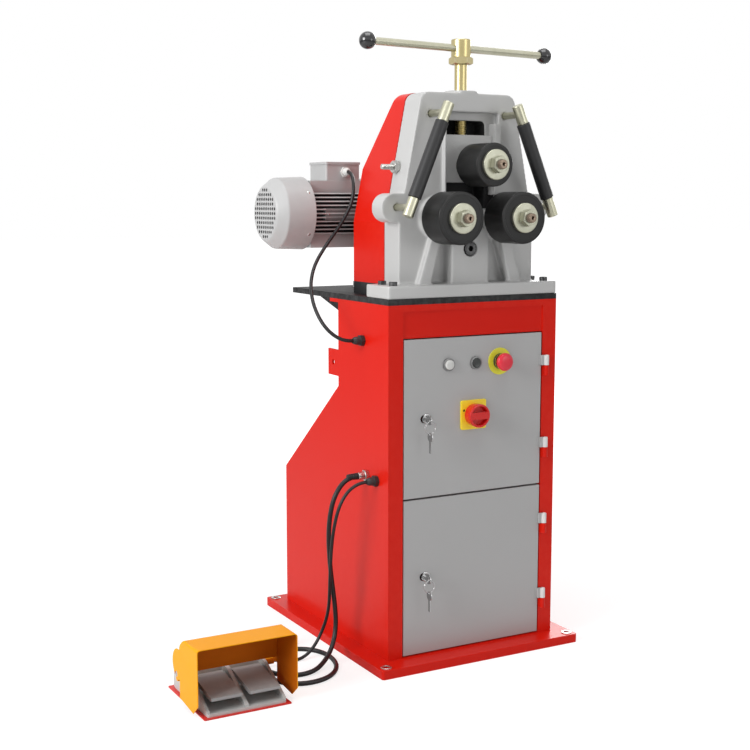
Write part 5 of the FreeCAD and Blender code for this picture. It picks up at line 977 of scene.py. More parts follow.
class RINGROLLER_OT_rolls(bpy.types.Operator):
    """Turns the three rolls, their washers, nuts and threaded shafts."""

    bl_idname = "ring_roller.rolls"
    bl_label = "Rolls"

    def execute(self, context):
        faces = {}
        for place in ("upper", "lower_left", "lower_right"):
            faces[place] = centre_of("roller_" + place)
            faces[place].y = corners("roller_" + place)[0].y
        home = faces["upper"]
        made = {"upper": [self.roll("upper", home), self.washer(home), self.nut(home),
                          self.shaft_end(home)]}
        lower = self.roll("lower_left", faces["lower_left"])
        other = twin(lower, "roll", faces["lower_right"] - faces["lower_left"])
        for place, roll in (("lower_left", lower), ("lower_right", other)):
            made[place] = [roll] + [twin(piece, piece.name, faces[place] - home)
                                    for piece in made["upper"][1:]]
        for place, (roll, washer, nut, shaft_end) in made.items():
            body = place + "_roll"
            for piece, name, key, slot, nodes in (
                    (roll, "roll_", "roll", "dark_steel", ["roller_" + place]),
                    (washer, "roll_washer_", "zinc_washer", "zinc_yellow", ["roll_nut_" + place]),
                    (nut, "roll_hexagon_", "zinc_washer", "zinc_yellow", []),
                    (shaft_end, "shaft_end_", "shaft", "bright_steel", [])):
                piece.name = piece.data.name = name + place
                seat(piece, body, key, slot, *nodes)
            self.shaft(place, faces[place], body)
        return {"FINISHED"}

    def roll(self, place, face):
        low, high = corners("roller_" + place)
        length, radius, bore = high.y - low.y, (high.x - low.x) / 2, 15.0
        seat_r, rim = 33.0, radius - 7.0
        profile = [(0, bore), (0, seat_r), (0.5, seat_r + 0.6), (0.5, rim - 0.6), (0, rim),
                   (0, radius - 2.4), (0.5, radius - 1.1), (1.2, radius - 0.4), (2.4, radius),
                   (length - 2.4, radius), (length - 1.2, radius - 0.4),
                   (length - 0.5, radius - 1.1), (length, radius - 2.4), (length, bore),
                   (0, bore)]
        return lathe("roll", face, Y_AXIS, profile, sides=112, hollow=True)

    def washer(self, face):
        profile = [(-8, 10.3), (-8, 30.4), (-7.5, 31.3), (-6.6, 32), (-0.6, 32), (0, 31.4),
                   (0, 15), (-2, 15), (-2, 10.3), (-8, 10.3)]
        return lathe("roll_washer", face, Y_AXIS, profile, sides=96, hollow=True)

    def nut(self, face):
        return hexagon("roll_hexagon_nut", face - Y_AXIS * 24, Y_AXIS, across_flats=32.0,
                       length=16.0, chamfer=1.2, bore=9.6, turn=10.0)

    def shaft_end(self, face):
        tip = face - Y_AXIS * 34
        end = thread("shaft_end", tip, Y_AXIS, radius=10.0, pitch=2.5, length=27.0, chamfer=1.8)
        drill = lathe("centre_drill", tip, Y_AXIS, [(-1, 5.2), (0, 4.2), (2.4, 2.2), (6.5, 2.2)],
                      sides=32)
        return carve(end, drill)

    def shaft(self, place, face, body):
        """The plain shaft behind the thread, on the outline of its node."""
        low, high = corners("shaft_" + place)
        length, step = high.y - low.y, corners("roller_" + place)[1].y - low.y
        neck, radius, collar, collar_t, edge = 9.2, 15, 21, 11.7, 0.6
        profile = [(26.5, neck), (32, neck), (32, radius), (step, radius), (step, collar - edge),
                   (step + edge, collar), (step + collar_t - edge, collar),
                   (step + collar_t, collar - edge), (step + collar_t, radius),
                   (length - 1.2, radius), (length, radius - 1.2)]
        piece = lathe("shaft_body_" + place, Vector((face.x, low.y, face.z)), Y_AXIS, profile)
        seat(piece, body, "bright", "bright_steel", "shaft_" + place)


class RINGROLLER_OT_pressure_screw(bpy.types.Operator):
    """Makes the pressure screw with its thread, hexagon collar, hub, tee bar and ball knobs."""

    bl_idname = "ring_roller.pressure_screw"
    bl_label = "Pressure screw"

    def execute(self, context):
        low, high = corners("pressure_screw")
        axis = Vector((0.0, (low.y + high.y) / 2, 0.0))
        casting_top = corners("head_casting")[1].z
        radius, pitch, hub_r, hub_h, collar_t = 14.0, 4.0, 21.5, 38.0, 15.0
        collar_z = high.z - hub_h - collar_t
        threaded = thread("screw_thread", axis + Z_AXIS * low.z, Z_AXIS, radius, pitch,
                          casting_top - low.z - 4, depth=2.0, sides=36, chamfer=2.2)
        shank_z = casting_top - 6
        tall = collar_z - shank_z
        shank = lathe("screw_shank", axis + Z_AXIS * shank_z, Z_AXIS,
                      [(0, radius - 2), (2, radius - 0.2), (tall - 2.4, radius - 0.2),
                       (tall - 1.0, radius + 0.3), (tall - 0.2, radius + 1.4),
                       (tall + 1, radius + 1.6)], sides=72)
        collar = hexagon("screw_collar", axis + Z_AXIS * collar_z, Z_AXIS, across_flats=46.0,
                         length=collar_t)
        hub = lathe("screw_hub", axis + Z_AXIS * (collar_z + collar_t - 0.5), Z_AXIS,
                    [(0, hub_r + 0.8), (0.9, hub_r), (hub_h - 1.5, hub_r),
                     (hub_h - 0.6, hub_r - 0.4), (hub_h + 0.5, hub_r - 1.4)], sides=80)
        bar_low, bar_high = corners("handle_bar")
        middle = (bar_low + bar_high) / 2
        bar_r, half = 8.0, 244.0
        tilt = math.asin((bar_high.y - bar_low.y - 2 * bar_r) / (2 * half))
        along = Vector((math.cos(tilt), math.sin(tilt), 0.0))
        hole_half, hole_r = 30, bar_r + 0.15
        carve(hub, lathe("bar_hole", middle - along * hole_half, along,
                         [(0, hole_r), (2 * hole_half, hole_r)]))
        for side in (-1, 1):
            carve(hub, lathe("bar_relief", middle + along * side * (hub_r - 1.0), along * side,
                             [(0, bar_r), (2.5, bar_r + 2.2)], sides=48))
        seat(gather("pressure_screw_turned", [threaded, shank, collar, hub]), "screw", "zinc",
             "zinc_yellow", "pressure_screw")
        bar = lathe("tee_bar", middle - along * half, along,
                    [(0, bar_r - 1), (1, bar_r), (2 * half - 1, bar_r), (2 * half, bar_r - 1)],
                    sides=48)
        seat(bar, "screw", "zinc_pale", "zinc_yellow", "handle_bar")
        balls = [self.ball(middle + along * side * half, along * side) for side in (-1, 1)]
        seat(gather("ball_pair", balls), "screw", "ball_plastic", "black_gloss", "ball_knobs")
        return {"FINISHED"}

    def ball(self, bar_end, outward):
        """A moulded ball with a flat mouth and a recess round the bar."""
        radius, past, mouth, steps = 18.0, 6.0, 9.6, 30
        centre = bar_end + outward * past
        start = math.asin(mouth / radius)
        angles = [start + (math.pi - start - 0.03) * i / steps for i in range(steps + 1)]
        shell = [(-radius * math.cos(a), radius * math.sin(a)) for a in angles]
        edge = -radius * math.cos(start)
        profile = [(edge + 6, 7.9), (edge + 0.8, 8.2), (edge, mouth - 0.5)] + shell
        return lathe("ball", centre, outward, profile, sides=64)


class RINGROLLER_OT_guides(bpy.types.Operator):
    """Makes the lateral guide bars with their blocks, studs and rolling sleeves."""

    bl_idname = "ring_roller.guides"
    bl_label = "Guide bars"

    def execute(self, context):
        face = CABINET_FRONT + 34.0
        rod_y = face - 58.0
        top = Vector((-94.5, rod_y, corners("head_casting")[1].z - 52.0))
        foot = Vector((-178.0, rod_y, corners("roller_lower_left")[0].z + 79.0))
        block_r, block_len, rod_r, stud_r = 12.0, 42.0, 8.0, 7.5
        along = (foot - top).normalized()
        reach = (foot - top).length
        metal = [lathe("guide_rod", top, along, [(0, rod_r), (reach, rod_r)], sides=40)]
        for end in (top, foot):
            metal.append(self.end_block(end, along, block_r, block_len))
            metal.append(self.stud(end, face, stud_r))
        left = gather("guide_bar_left", metal)
        right = mirrored(left, "guide_bar_right")
        seat(left, "stand", "zinc_pale", "zinc_yellow", "guide_rods")
        seat(right, "stand", "zinc_pale", "zinc_yellow")
        outer, inner, lap = 14.5, 8.1, 0.3
        begin = top + along * (block_len / 2 + lap)
        length = reach - block_len - 2 * lap
        sleeve = lathe("sleeve_left", begin, along,
                       [(0, inner + 0.8), (0, outer - 1.4), (0.5, outer - 0.4), (1.5, outer),
                        (length - 1.5, outer), (length - 0.5, outer - 0.4),
                        (length, outer - 1.4), (length, inner + 0.8), (length - 1.2, inner),
                        (1.2, inner), (0, inner + 0.8)],
                       sides=64, hollow=True)
        other = mirrored(sleeve, "sleeve_right")
        seat(sleeve, "left_sleeve", "sleeve_rubber", "sleeve_rubber", "guide_sleeve_left")
        seat(other, "right_sleeve", "sleeve_rubber", "sleeve_rubber", "guide_sleeve_right")
        return {"FINISHED"}

    def end_block(self, end, along, radius, length):
        half = length / 2
        return lathe("guide_block", end - along * half, along,
                     [(0, radius - 1.6), (0.5, radius - 0.6), (1.6, radius),
                      (length - 1.6, radius), (length - 0.5, radius - 0.6),
                      (length, radius - 1.6)], sides=64)

    def stud(self, end, face, radius):
        reach = face - end.y
        return lathe("guide_stud", end, Y_AXIS,
                     [(0, radius), (reach - 1.6, radius), (reach - 1.0, radius - 0.7),
                      (reach + 6, radius - 0.7)], sides=48)


class RINGROLLER_OT_motor(bpy.types.Operator):
    """Makes the motor body, its fan cover and terminal box, and the worm gearbox."""

    bl_idname = "ring_roller.motor"
    bl_label = "Motor"

    def execute(self, context):
        housing = soften(merged_copy("motor_housing", "motor_body"), 0.7)
        seat(housing, "stand", "motor_paint", "motor_grey", "motor_housing")
        axis = centre_of("fan_cover")
        fins_from, fins_to, fin_root = -235, -125, 69.5
        # Painted shade: the motor body between its fins, inside the fin roots, gets the near-black
        # finish.
        darken(housing, lambda at, _: fins_from < at.x < fins_to
               and math.hypot(at.y - axis.y, at.z - axis.z) < fin_root)
        self.rating_pad()
        gearbox = soften(merged_copy("gearbox_housing", "worm_box", whole=False), 1.6,
                         segments=3)
        seat(gearbox, "stand", "motor_paint", "motor_grey", "gearbox_housing")
        self.fan_cover()
        self.terminal_box()
        self.flange_screws()
        return {"FINISHED"}

    def rating_pad(self):
        """Flat bare pad with its two rivets on the side of the motor, between the fins; the pad is
        real, its near-black grey is painted shade.
        """
        axis = centre_of("fan_cover")
        low = Vector((-226.0, axis.y - 75.5, axis.z - 15.0))
        high = Vector((-128.0, axis.y - 62.0, axis.z + 12.0))
        pad, inset = block("motor_pad", low, high, width=1.2, segments=3), 8
        rivets = [pan_screw("pad_rivet", Vector((x, low.y, (low.z + high.z) / 2)), -Y_AXIS,
                            head_r=2.4, head_h=0.9, turn=30.0)
                  for x in (low.x + inset, high.x - inset)]
        # the pad's near-black grey is painted shade
        seat(pad, "stand", "pad_shade_grey", "motor_grey")
        seat(gather("pad_rivets", rivets), "stand", "bright", "bright_steel")

    def fan_cover(self):
        low, high = corners("fan_cover")
        axis = centre_of("fan_cover")
        start = Vector((low.x, axis.y, axis.z))
        length, rim, sheet = high.x - low.x, (high.z - low.z) / 2, 2.0
        face_r = 60.0
        outside = [(0, face_r - 1.5), (0.5, face_r + 0.6), (1.8, face_r + 2.6),
                   (5.4, face_r + 6.2), (21.6, rim - 4.4), (24.0, rim - 3.0), (26.8, rim - 2.5),
                   (length - 0.6, rim - 0.1), (length, rim - 0.7)]
        inside = [(along + sheet * 0.6, reach - sheet) for along, reach in reversed(outside[:-1])]
        inside[0] = (length, rim - sheet)
        profile = outside + inside + [(1.0, face_r - 4.0)]
        cup = lathe("fan_cup", start, X_AXIS, profile + [(1.0, 1.0)], sides=96)
        pitch, hole_r, field = 10.5, 3.9, 54.0
        steps = int(field / pitch) + 1
        pins = []
        first = lathe("fan_hole", start - X_AXIS, X_AXIS, [(0, hole_r), (6, hole_r)], sides=14)
        for row in range(-steps, steps + 1):
            for column in range(-steps, steps + 1):
                y, z = column * pitch, row * pitch
                if 0 < math.hypot(y, z) < field:
                    pins.append(twin(first, "fan_hole", Vector((0, y, z))))
        carve(cup, gather("fan_holes", [first] + pins))
        hub = Vector((high.x - 12, axis.y, axis.z))
        screws = [pan_screw("cover_screw", hub + outward * (rim - 1.2), outward, head_r=4.2,
                            head_h=1.6)
                  for outward in map(around_x, (35, 145, 215, 325))]
        seat(cup, "stand", "motor_paint", "motor_grey", "fan_cover")
        # Painted shade: a near-black cone behind the grille stands for the dark inside of the fan
        # cover.
        shade_cone = lathe("fan_painted_shade", start + X_AXIS * (sheet + 2.5), X_AXIS,
                       [(0, 56.0), (1.0, 57.0), (18.0, 72.0)], sides=48)
        seat(shade_cone, "stand", "painted_shade", "black_plastic")
        seat(gather("cover_screws", screws), "stand", "bright", "bright_steel")

    def terminal_box(self):
        case = soften(merged_copy("terminal_box", "terminal_case"), 1.0, segments=3)
        low, high = corners("terminal_box")
        inset, sunk = 8.0, 0.9
        screws = [pan_screw("lid_screw", Vector((x, y, high.z - sunk)), Z_AXIS, head_r=4.0,
                            head_h=0.85, turn=turn)
                  for x, turn in ((low.x + inset, 20.0), (high.x - inset, 65.0))
                  for y in (low.y + inset, high.y - inset)]
        seat(case, "stand", "motor_paint", "motor_grey", "terminal_box")
        seat(gather("lid_screws", screws), "stand", "bright", "bright_steel")

    def flange_screws(self):
        """Hexagon screws that hold the motor's flange to the gearbox."""
        axis = centre_of("fan_cover")
        flange, ring = Vector((-117.0, axis.y, axis.z)), 69.0
        screws = [hexagon("flange_screw", flange + outward * ring, -X_AXIS, across_flats=13.0,
                          length=5.5, both=False)
                  for outward in map(around_x, (45, 135, 225, 315))]
        seat(gather("flange_screws", screws), "stand", "bright", "bright_steel")


class RINGROLLER_OT_controls(bpy.types.Operator):
    """Makes the lamp, the start button, the emergency stop and the main switch."""

    bl_idname = "ring_roller.controls"
    bl_label = "Controls"

    RING = 14.5     # radius of the rings round the lamp and the button

    def execute(self, context):
        panel = corners("door_upper")[0].y
        button = centre_of("push_button")
        stop = centre_of("estop_head")
        button.y = stop.y = panel
        lamp = Vector((corners("control_bezels")[0].x + self.RING, panel, button.z))
        self.lamp(lamp)
        self.button(button)
        self.stop(stop)
        self.switch(panel)
        return {"FINISHED"}

    def lamp(self, place):
        ring = lathe("lamp_ring", place, -Y_AXIS,
                     [(0, self.RING), (3.4, self.RING), (4.6, 14.0), (5, 13.2), (5, 11.7),
                      (3.0, 11.2)])
        lens = lathe("lamp_lens", place - Y_AXIS * 3, -Y_AXIS,
                     [(0, 10.9), (3.2, 10.9), (4.6, 10.4), (5.5, 9.2), (5.9, 7.4), (6.0, 3.0)])
        seat(ring, "upper_door", "control_grey", "grey_plastic")
        seat(lens, "upper_door", "lamp_lens", "grey_plastic")

    def button(self, place):
        ring = lathe("button_ring", place, -Y_AXIS,
                     [(0, self.RING), (3.2, self.RING), (4.5, 14.0), (5, 13.0), (5, 11.2),
                      (0.6, 10.9)])
        cap = lathe("button_cap", place + Y_AXIS * 2, -Y_AXIS,
                    [(0, 10.5), (7.9, 10.5), (8.6, 10.2), (9.0, 9.4), (8.9, 8.2), (8.5, 5.0),
                     (8.4, 2.0)])
        seat(ring, "upper_door", "control_grey", "bright_steel", "control_bezels")
        seat(cap, "start_button", "button_cap", "green_plastic", "push_button")

    def stop(self, place):
        head = lathe("stop_head", place - Y_AXIS * 30, Y_AXIS,
                     [(0, 2.5), (0.1, 7.0), (0.5, 11.0), (1.4, 14.6), (2.8, 17.4), (4.6, 19.2),
                      (6.6, 20.0), (8.8, 20.0), (11.4, 19.4), (13.2, 18.9), (14, 18.0),
                      (14, 12.6), (15.4, 12.4), (15.4, 6), (40, 6)])
        seat(head, "emergency_stop", "stop_red", "red_plastic", "estop_head")
        collar = lathe("stop_collar", place, -Y_AXIS,
                       [(1.8, 17.4), (6.6, 17.4), (7.8, 16.9), (8.2, 16.0), (8.2, 13.4),
                        (6.4, 12.9)])
        seat(collar, "upper_door", "black_plastic", "black_plastic")

    def switch(self, panel):
        plates = soften(merged_copy("switch_backplates", "signal_plates"), 0.6)
        seat(plates, "upper_door", "signal_yellow", "yellow_plastic", "switch_backplates")
        plate_edge = 30.0
        darken(plates, lambda at, _: at.x > plate_edge, "disc_yellow")
        low, high = corners("switch_knob")
        middle = (low + high) / 2
        deep, radius, pocket_r, grip_half = 26.0, 26.0, 21.5, 8.0
        face = Vector((middle.x, low.y + deep, middle.z))
        knob = lathe("switch_handle", face, -Y_AXIS,
                     [(0, radius - 2.6), (1.0, radius - 1.8), (deep - 12, radius - 0.6),
                      (deep - 5, radius), (deep - 1.6, radius), (deep - 0.5, radius - 0.5),
                      (deep, radius - 1.7), (deep, 8)], sides=96)
        pockets = lathe("switch_pockets", face, -Y_AXIS,
                        [(deep - 11, pocket_r - 2.0), (deep - 9.6, pocket_r - 0.9),
                         (deep + 1, pocket_r)], sides=72)
        reach = 30
        carve(pockets, block("switch_grip",
                             Vector((face.x - reach, low.y - 3, face.z - grip_half)),
                             Vector((face.x + reach, face.y, face.z + grip_half))))
        carve(knob, pockets)
        soften(knob, 0.5, angle=40.0)
        seat(knob, "main_switch", "signal_red", "red_plastic", "switch_knob")
        # Painted shade: a thin black disc stands for the padlock hole in the plate.
        hole = lathe("padlock_shade_disc", Vector((middle.x - 24.5, panel - 0.4, middle.z + 10)),
                     -Y_AXIS, [(0, 2.95), (0.6, 2.95), (0.9, 2.0)], sides=24)
        seat(hole, "upper_door", "black_plastic", "black_plastic")


class RINGROLLER_OT_door_fittings(bpy.types.Operator):
    """Makes the hinge knuckles, the cam locks and their keys."""

    bl_idname = "ring_roller.door_fittings"
    bl_label = "Door fittings"

    KNUCKLES = {"upper": (647.0, 459.0), "lower": (282.0, 105.0)}     # heights
    LOCK_HEIGHT = {"upper": 548.0, "lower": 197.0}
    HINGE_X, HINGE_OUT = 188.5, 6.5     # place of the pins' axis, and how far it stands out

    def execute(self, context):
        pattern, home = None, None
        for place, heights in self.KNUCKLES.items():
            door = place + "_door"
            panel, side = corners("door_" + place)[0].y, corners("door_" + place)[1].x
            barrels, leaves = [], []
            for z in heights:
                foot = Vector((side, panel, z))
                if pattern is None:
                    pattern, home = self.knuckle(foot), foot
                barrel, leaf = [twin(piece, piece.name, foot - home) for piece in pattern]
                barrels.append(barrel)
                leaves.append(leaf)
            seat(gather("hinge_barrels_" + place, barrels), door, "hinge_white", "bright_steel")
            seat(gather("hinge_leaves_" + place, leaves), door, "door_paint", "bright_steel")
            self.lock(place, door, panel)
        for piece in pattern:
            bpy.data.objects.remove(piece, do_unlink=True)
        return {"FINISHED"}

    def knuckle(self, foot):
        """The knuckle that turns with the door, above the one that carries the pin."""
        long, radius, leaf_w, leaf_t, rounding = 23.0, 6.0, 17.0, 1.6, 0.5
        axis = Vector((self.HINGE_X, foot.y - self.HINGE_OUT, foot.z + 0.15))
        barrel = lathe("hinge_knuckle", axis, Z_AXIS,
                       [(0, radius - 0.5), (0.4, radius), (long - 0.8, radius),
                        (long, radius - 0.8), (long, 3.2), (long - 0.7, 2.8)], sides=40)
        leaf = block("hinge_leaf", Vector((self.HINGE_X - leaf_w, foot.y - leaf_t, axis.z)),
                     Vector((foot.x, foot.y, axis.z + long)), rounding)
        neck = block("hinge_neck", Vector((foot.x - 3.2, axis.y, axis.z)),
                     Vector((axis.x, foot.y - 1.2, axis.z + long)), rounding)
        return barrel, gather("hinge_leaf", [leaf, neck])

    def lock(self, place, door, panel):
        keys = merged_copy("lock_key_" + place, "key_set_" + place)
        seat(soften(keys, 0.3), place + "_lock", "chrome", "lock_chrome", "lock_key_" + place)
        middle = Vector((corners("lock_key_" + place)[1].x - 7.0, panel, self.LOCK_HEIGHT[place]))
        rim = lathe("lock_rim_" + place, middle, -Y_AXIS,
                    [(0, 6.6), (0, 11.0), (1.2, 11.0), (2.2, 10.2), (2.5, 9.4), (2.3, 6.9),
                     (1.6, 6.6), (0, 6.6)], sides=48, hollow=True)
        seat(rim, door, "chrome", "lock_chrome", "door_fittings_" + place)


class RINGROLLER_OT_glands(bpy.types.Operator):
    """Makes the cable glands, their strain reliefs and the mains plug."""

    bl_idname = "ring_roller.glands"
    bl_label = "Cable glands"

    WALL_GLAND, BOX_GLAND = 26.0, 18.0      # how far the glands stand out

    def execute(self, context):
        wall = -corners("cabinet_shell")[1].x
        for name, cord, key, end in (("gland_motor", "motor_cable", "black_plastic", -1),
                                     ("gland_mains", "mains_cable", "bright", 0),
                                     ("gland_pedal", "pedal_cable", "black_plastic", 0)):
            _, y, z = CORDS[cord]["route"][end]
            self.gland(name, Vector((wall, y, z)), -X_AXIS, self.WALL_GLAND, cord_radius(cord),
                       key)
        x, _, z = CORDS["motor_cable"]["route"][0]
        box_wall = corners("terminal_box")[0].y + 2
        self.gland("gland_box", Vector((x, box_wall, z)), -Y_AXIS, self.BOX_GLAND,
                   cord_radius("motor_cable"), "white_plastic")
        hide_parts("cable_glands")
        self.relief("relief_mains", "mains_cable", start_x=wall - 24.0, length=26.0)
        self.plug()
        return {"FINISHED"}

    def gland(self, name, foot, outward, length, cord_r, key):
        rise, rest, lip, flutes = length * 0.35, length * 0.65, max(5.5, cord_r + 1.8), 10
        nut = hexagon(name + "_body", foot, outward, across_flats=22.0, length=rise, both=False,
                      turn=30)
        dome = lathe(name + "_nut", foot + outward * (rise - 0.2), outward,
                     [(0, 9.6), (1.0, 9.6), (1.4, 9.0), (rest * 0.45, 9.0), (rest * 0.72, 8.2),
                      (rest * 0.92, lip + 0.8), (rest, lip), (rest, cord_r + 0.5),
                      (rest - 3, cord_r + 0.3)], sides=48)
        slots = []
        side = outward.orthogonal().normalized()
        for i in range(flutes):
            out = Quaternion(outward, math.tau * i / flutes) @ side
            slots.append(lathe(name + "_flute", foot + outward * (rise + 1.8) + out * 9.7,
                               outward, [(0, 1.1), (rest * 0.5, 1.1)], sides=12))
        carve(dome, gather(name + "_flutes", slots))
        seat(gather(name, [nut, dome]), "stand", key,
             "bright_steel" if key == "bright" else "grey_plastic")

    def relief(self, name, cord, start_x, length):
        """A tapered ribbed sleeve round a cord where it leaves its gland."""
        radius, ribs = cord_radius(cord), 5
        foot = Vector((start_x, *CORDS[cord]["route"][0][1:]))
        profile = [(0, radius + 2.6)]
        for i in range(ribs):
            at = length * (i + 0.4) / ribs
            reach = radius + 2.4 - 1.5 * at / length
            profile += [(at, reach), (at + 0.6, reach - 0.6), (at + 1.8, reach - 0.6),
                        (at + 2.4, reach)]
        profile += [(length, radius + 0.8), (length, radius)]
        seat(lathe(name, foot, -X_AXIS, profile, sides=40), "stand", "cable_rubber", "cable_black")

    def plug(self):
        low, high = corners("mains_plug")
        route = CORDS["mains_cable"]["route"]
        end, before = Vector(route[-1]), Vector(route[-2])
        along = Vector((end.x - before.x, end.y - before.y, 0)).normalized()
        pin_len, sleeve_r, ribs = 19.0, cord_radius("mains_cable"), 4
        body_end = (high.x - low.x) / abs(along.x) - pin_len
        radius = (high.z - low.z) / 2
        profile = [(0, sleeve_r + 0.6)]
        for i in range(ribs):
            at = 1.5 + i * 3.6
            reach = sleeve_r + 1.0 + 0.35 * i
            profile += [(at, reach), (at + 1.9, reach), (at + 2.3, reach - 0.5),
                        (at + 3.2, reach - 0.5)]
        profile += [(16.5, radius * 0.52), (19, radius * 0.72), (22.5, radius * 0.93),
                    (24, radius), (body_end - 1.2, radius), (body_end - 0.3, radius - 0.5),
                    (body_end, radius - 1.4)]
        body = lathe("plug_body", end, along, profile, sides=56)
        across, pin_r = along.cross(Z_AXIS), 2.4
        pins = [lathe("plug_pin", end + along * (body_end - 0.5) + across * side * 9.5, along,
                      [(0, pin_r), (pin_len - 1, pin_r), (pin_len + 0.1, 1.5),
                       (pin_len + 0.5, 0.6)], sides=24)
                for side in (-1, 1)]
        seat(body, "stand", "black_plastic", "black_plastic", "mains_plug")
        seat(gather("plug_pins", pins), "stand", "bright", "bright_steel")


class RINGROLLER_OT_pedal(bpy.types.Operator):
    """Bends the pedal's hood and rounds its housing and treads."""

    bl_idname = "ring_roller.pedal"
    bl_label = "Foot pedal"

    def execute(self, context):
        self.hood()
        housing = soften(merged_copy("pedal_housing", "pedal_case"), 0.9)
        seat(housing, "stand", "pedal_base", "pedal_grey", "pedal_housing")
        for side in ("left", "right"):
            tread = soften(merged_copy("pedal_" + side, "tread_" + side), 1.4, segments=3)
            seat(tread, side + "_pedal", "pedal_paint", "pedal_grey", "pedal_" + side)
        return {"FINISHED"}

    def hood(self):
        low, high = corners("pedal_hood")
        front, back, sheet = low.y, CABINET_FRONT + 30.0, 2.0
        foot, shelf, crown, chin = 8, 66.0, high.z, front + 26
        slope_y, slope_z, fold_r, axle = 25.0, 20.0, 8.0, CABINET_FRONT + 50.0
        deselect()
        bpy.ops.mesh.primitive_cube_add(
            size=1,
            location=Vector(((low.x + high.x) / 2, (front + back) / 2, (foot + crown) / 2)) * MM)
        hood = bpy.context.object
        hood.name = hood.data.name = "hood_sheet"
        hood.scale = Vector((high.x - low.x, back - front, crown - foot)) * MM
        settle(hood)
        edit(hood)
        for place, normal, clear in (((0, chin, foot), (0, -22, -26), True),
                                     ((0, chin, foot), (0, 8, -73), True),
                                     ((0, back - slope_y, crown), (0, slope_z, slope_y), True),
                                     ((0, 0, shelf), (0, 0, 1), False)):
            bpy.ops.mesh.select_all(action="SELECT")
            bpy.ops.mesh.bisect(plane_co=Vector(place) * MM, plane_no=Vector(normal).normalized(),
                                clear_outer=clear, use_fill=clear)
        bpy.ops.mesh.select_all(action="DESELECT")
        bpy.ops.mesh.select_mode(type="FACE")
        leave_edit()
        for face in hood.data.polygons:
            opening = face.normal.y < -0.9 or face.normal.z < -0.2
            under_shelf = face.normal.y > 0.9 and face.center.z / MM < shelf
            face.select = opening or under_shelf
        bpy.ops.object.mode_set(mode="EDIT")
        bpy.ops.mesh.delete(type="FACE")
        leave_edit()

        def is_fold(one, two):
            lower = min(one.z, two.z)
            return lower > crown - 0.5 or (abs(one.x - two.x) > 50 and lower > shelf + 1)

        soften_chosen(hood, fold_r, segments=5, chosen=is_fold)
        apply_modifier(hood, "SOLIDIFY", thickness=sheet * MM, offset=-1.0, use_even_offset=True)
        soften(hood, 0.4, angle=50.0)
        lugs, screws, spacers = [], [], []
        lug_y, lug_z, lug_r = CABINET_FRONT + 38.0, 84.0, 32.0
        for x, way in ((low.x, -X_AXIS), (high.x, X_AXIS)):
            lug = lathe("hood_lug", Vector((x, lug_y, lug_z)) - way * 0.15, -way,
                        [(0, lug_r - 0.5), (0.5, lug_r), (sheet - 0.8, lug_r),
                         (sheet - 0.3, lug_r - 0.5)], sides=80)
            place = Vector((x, axle, 60.0))
            carve(lug, lathe("lug_recess", place + way * 0.1, -way, [(0, 7.4), (1.6, 6.9)],
                             sides=40))
            lugs.append(lug)
            screws.append(pan_screw("hood_screw", place - way * 1.6, way, head_r=6.4, head_h=1.5,
                                    turn=20.0))
        middle, base_half = (low.x + high.x) / 2 - 1, 86.0
        for inner, outer in ((middle - base_half, low.x + sheet),
                             (middle + base_half, high.x - sheet)):
            spacers.append(lathe("hood_spacer", Vector((min(inner, outer), axle, 51.0)), X_AXIS,
                                 [(0, 6.6), (0.4, 7.0), (abs(outer - inner), 7.0)], sides=32))
        hood = gather("hood", [hood] + lugs + spacers)
        seat(hood, "stand", "hood_paint", "hood_orange", "pedal_hood")
        # Painted shade: the hood's faces that turn toward its middle get a darker orange in place
        # of the shade inside it.
        heart = Vector(((low.x + high.x) / 2, (front + back) / 2, 60.0))
        facing = 0.25
        darken(hood, lambda at, normal: normal.dot((heart - at).normalized()) > facing,
               "hood_inside_shade")
        seat(gather("hood_screws", screws), "stand", "bright", "bright_steel")


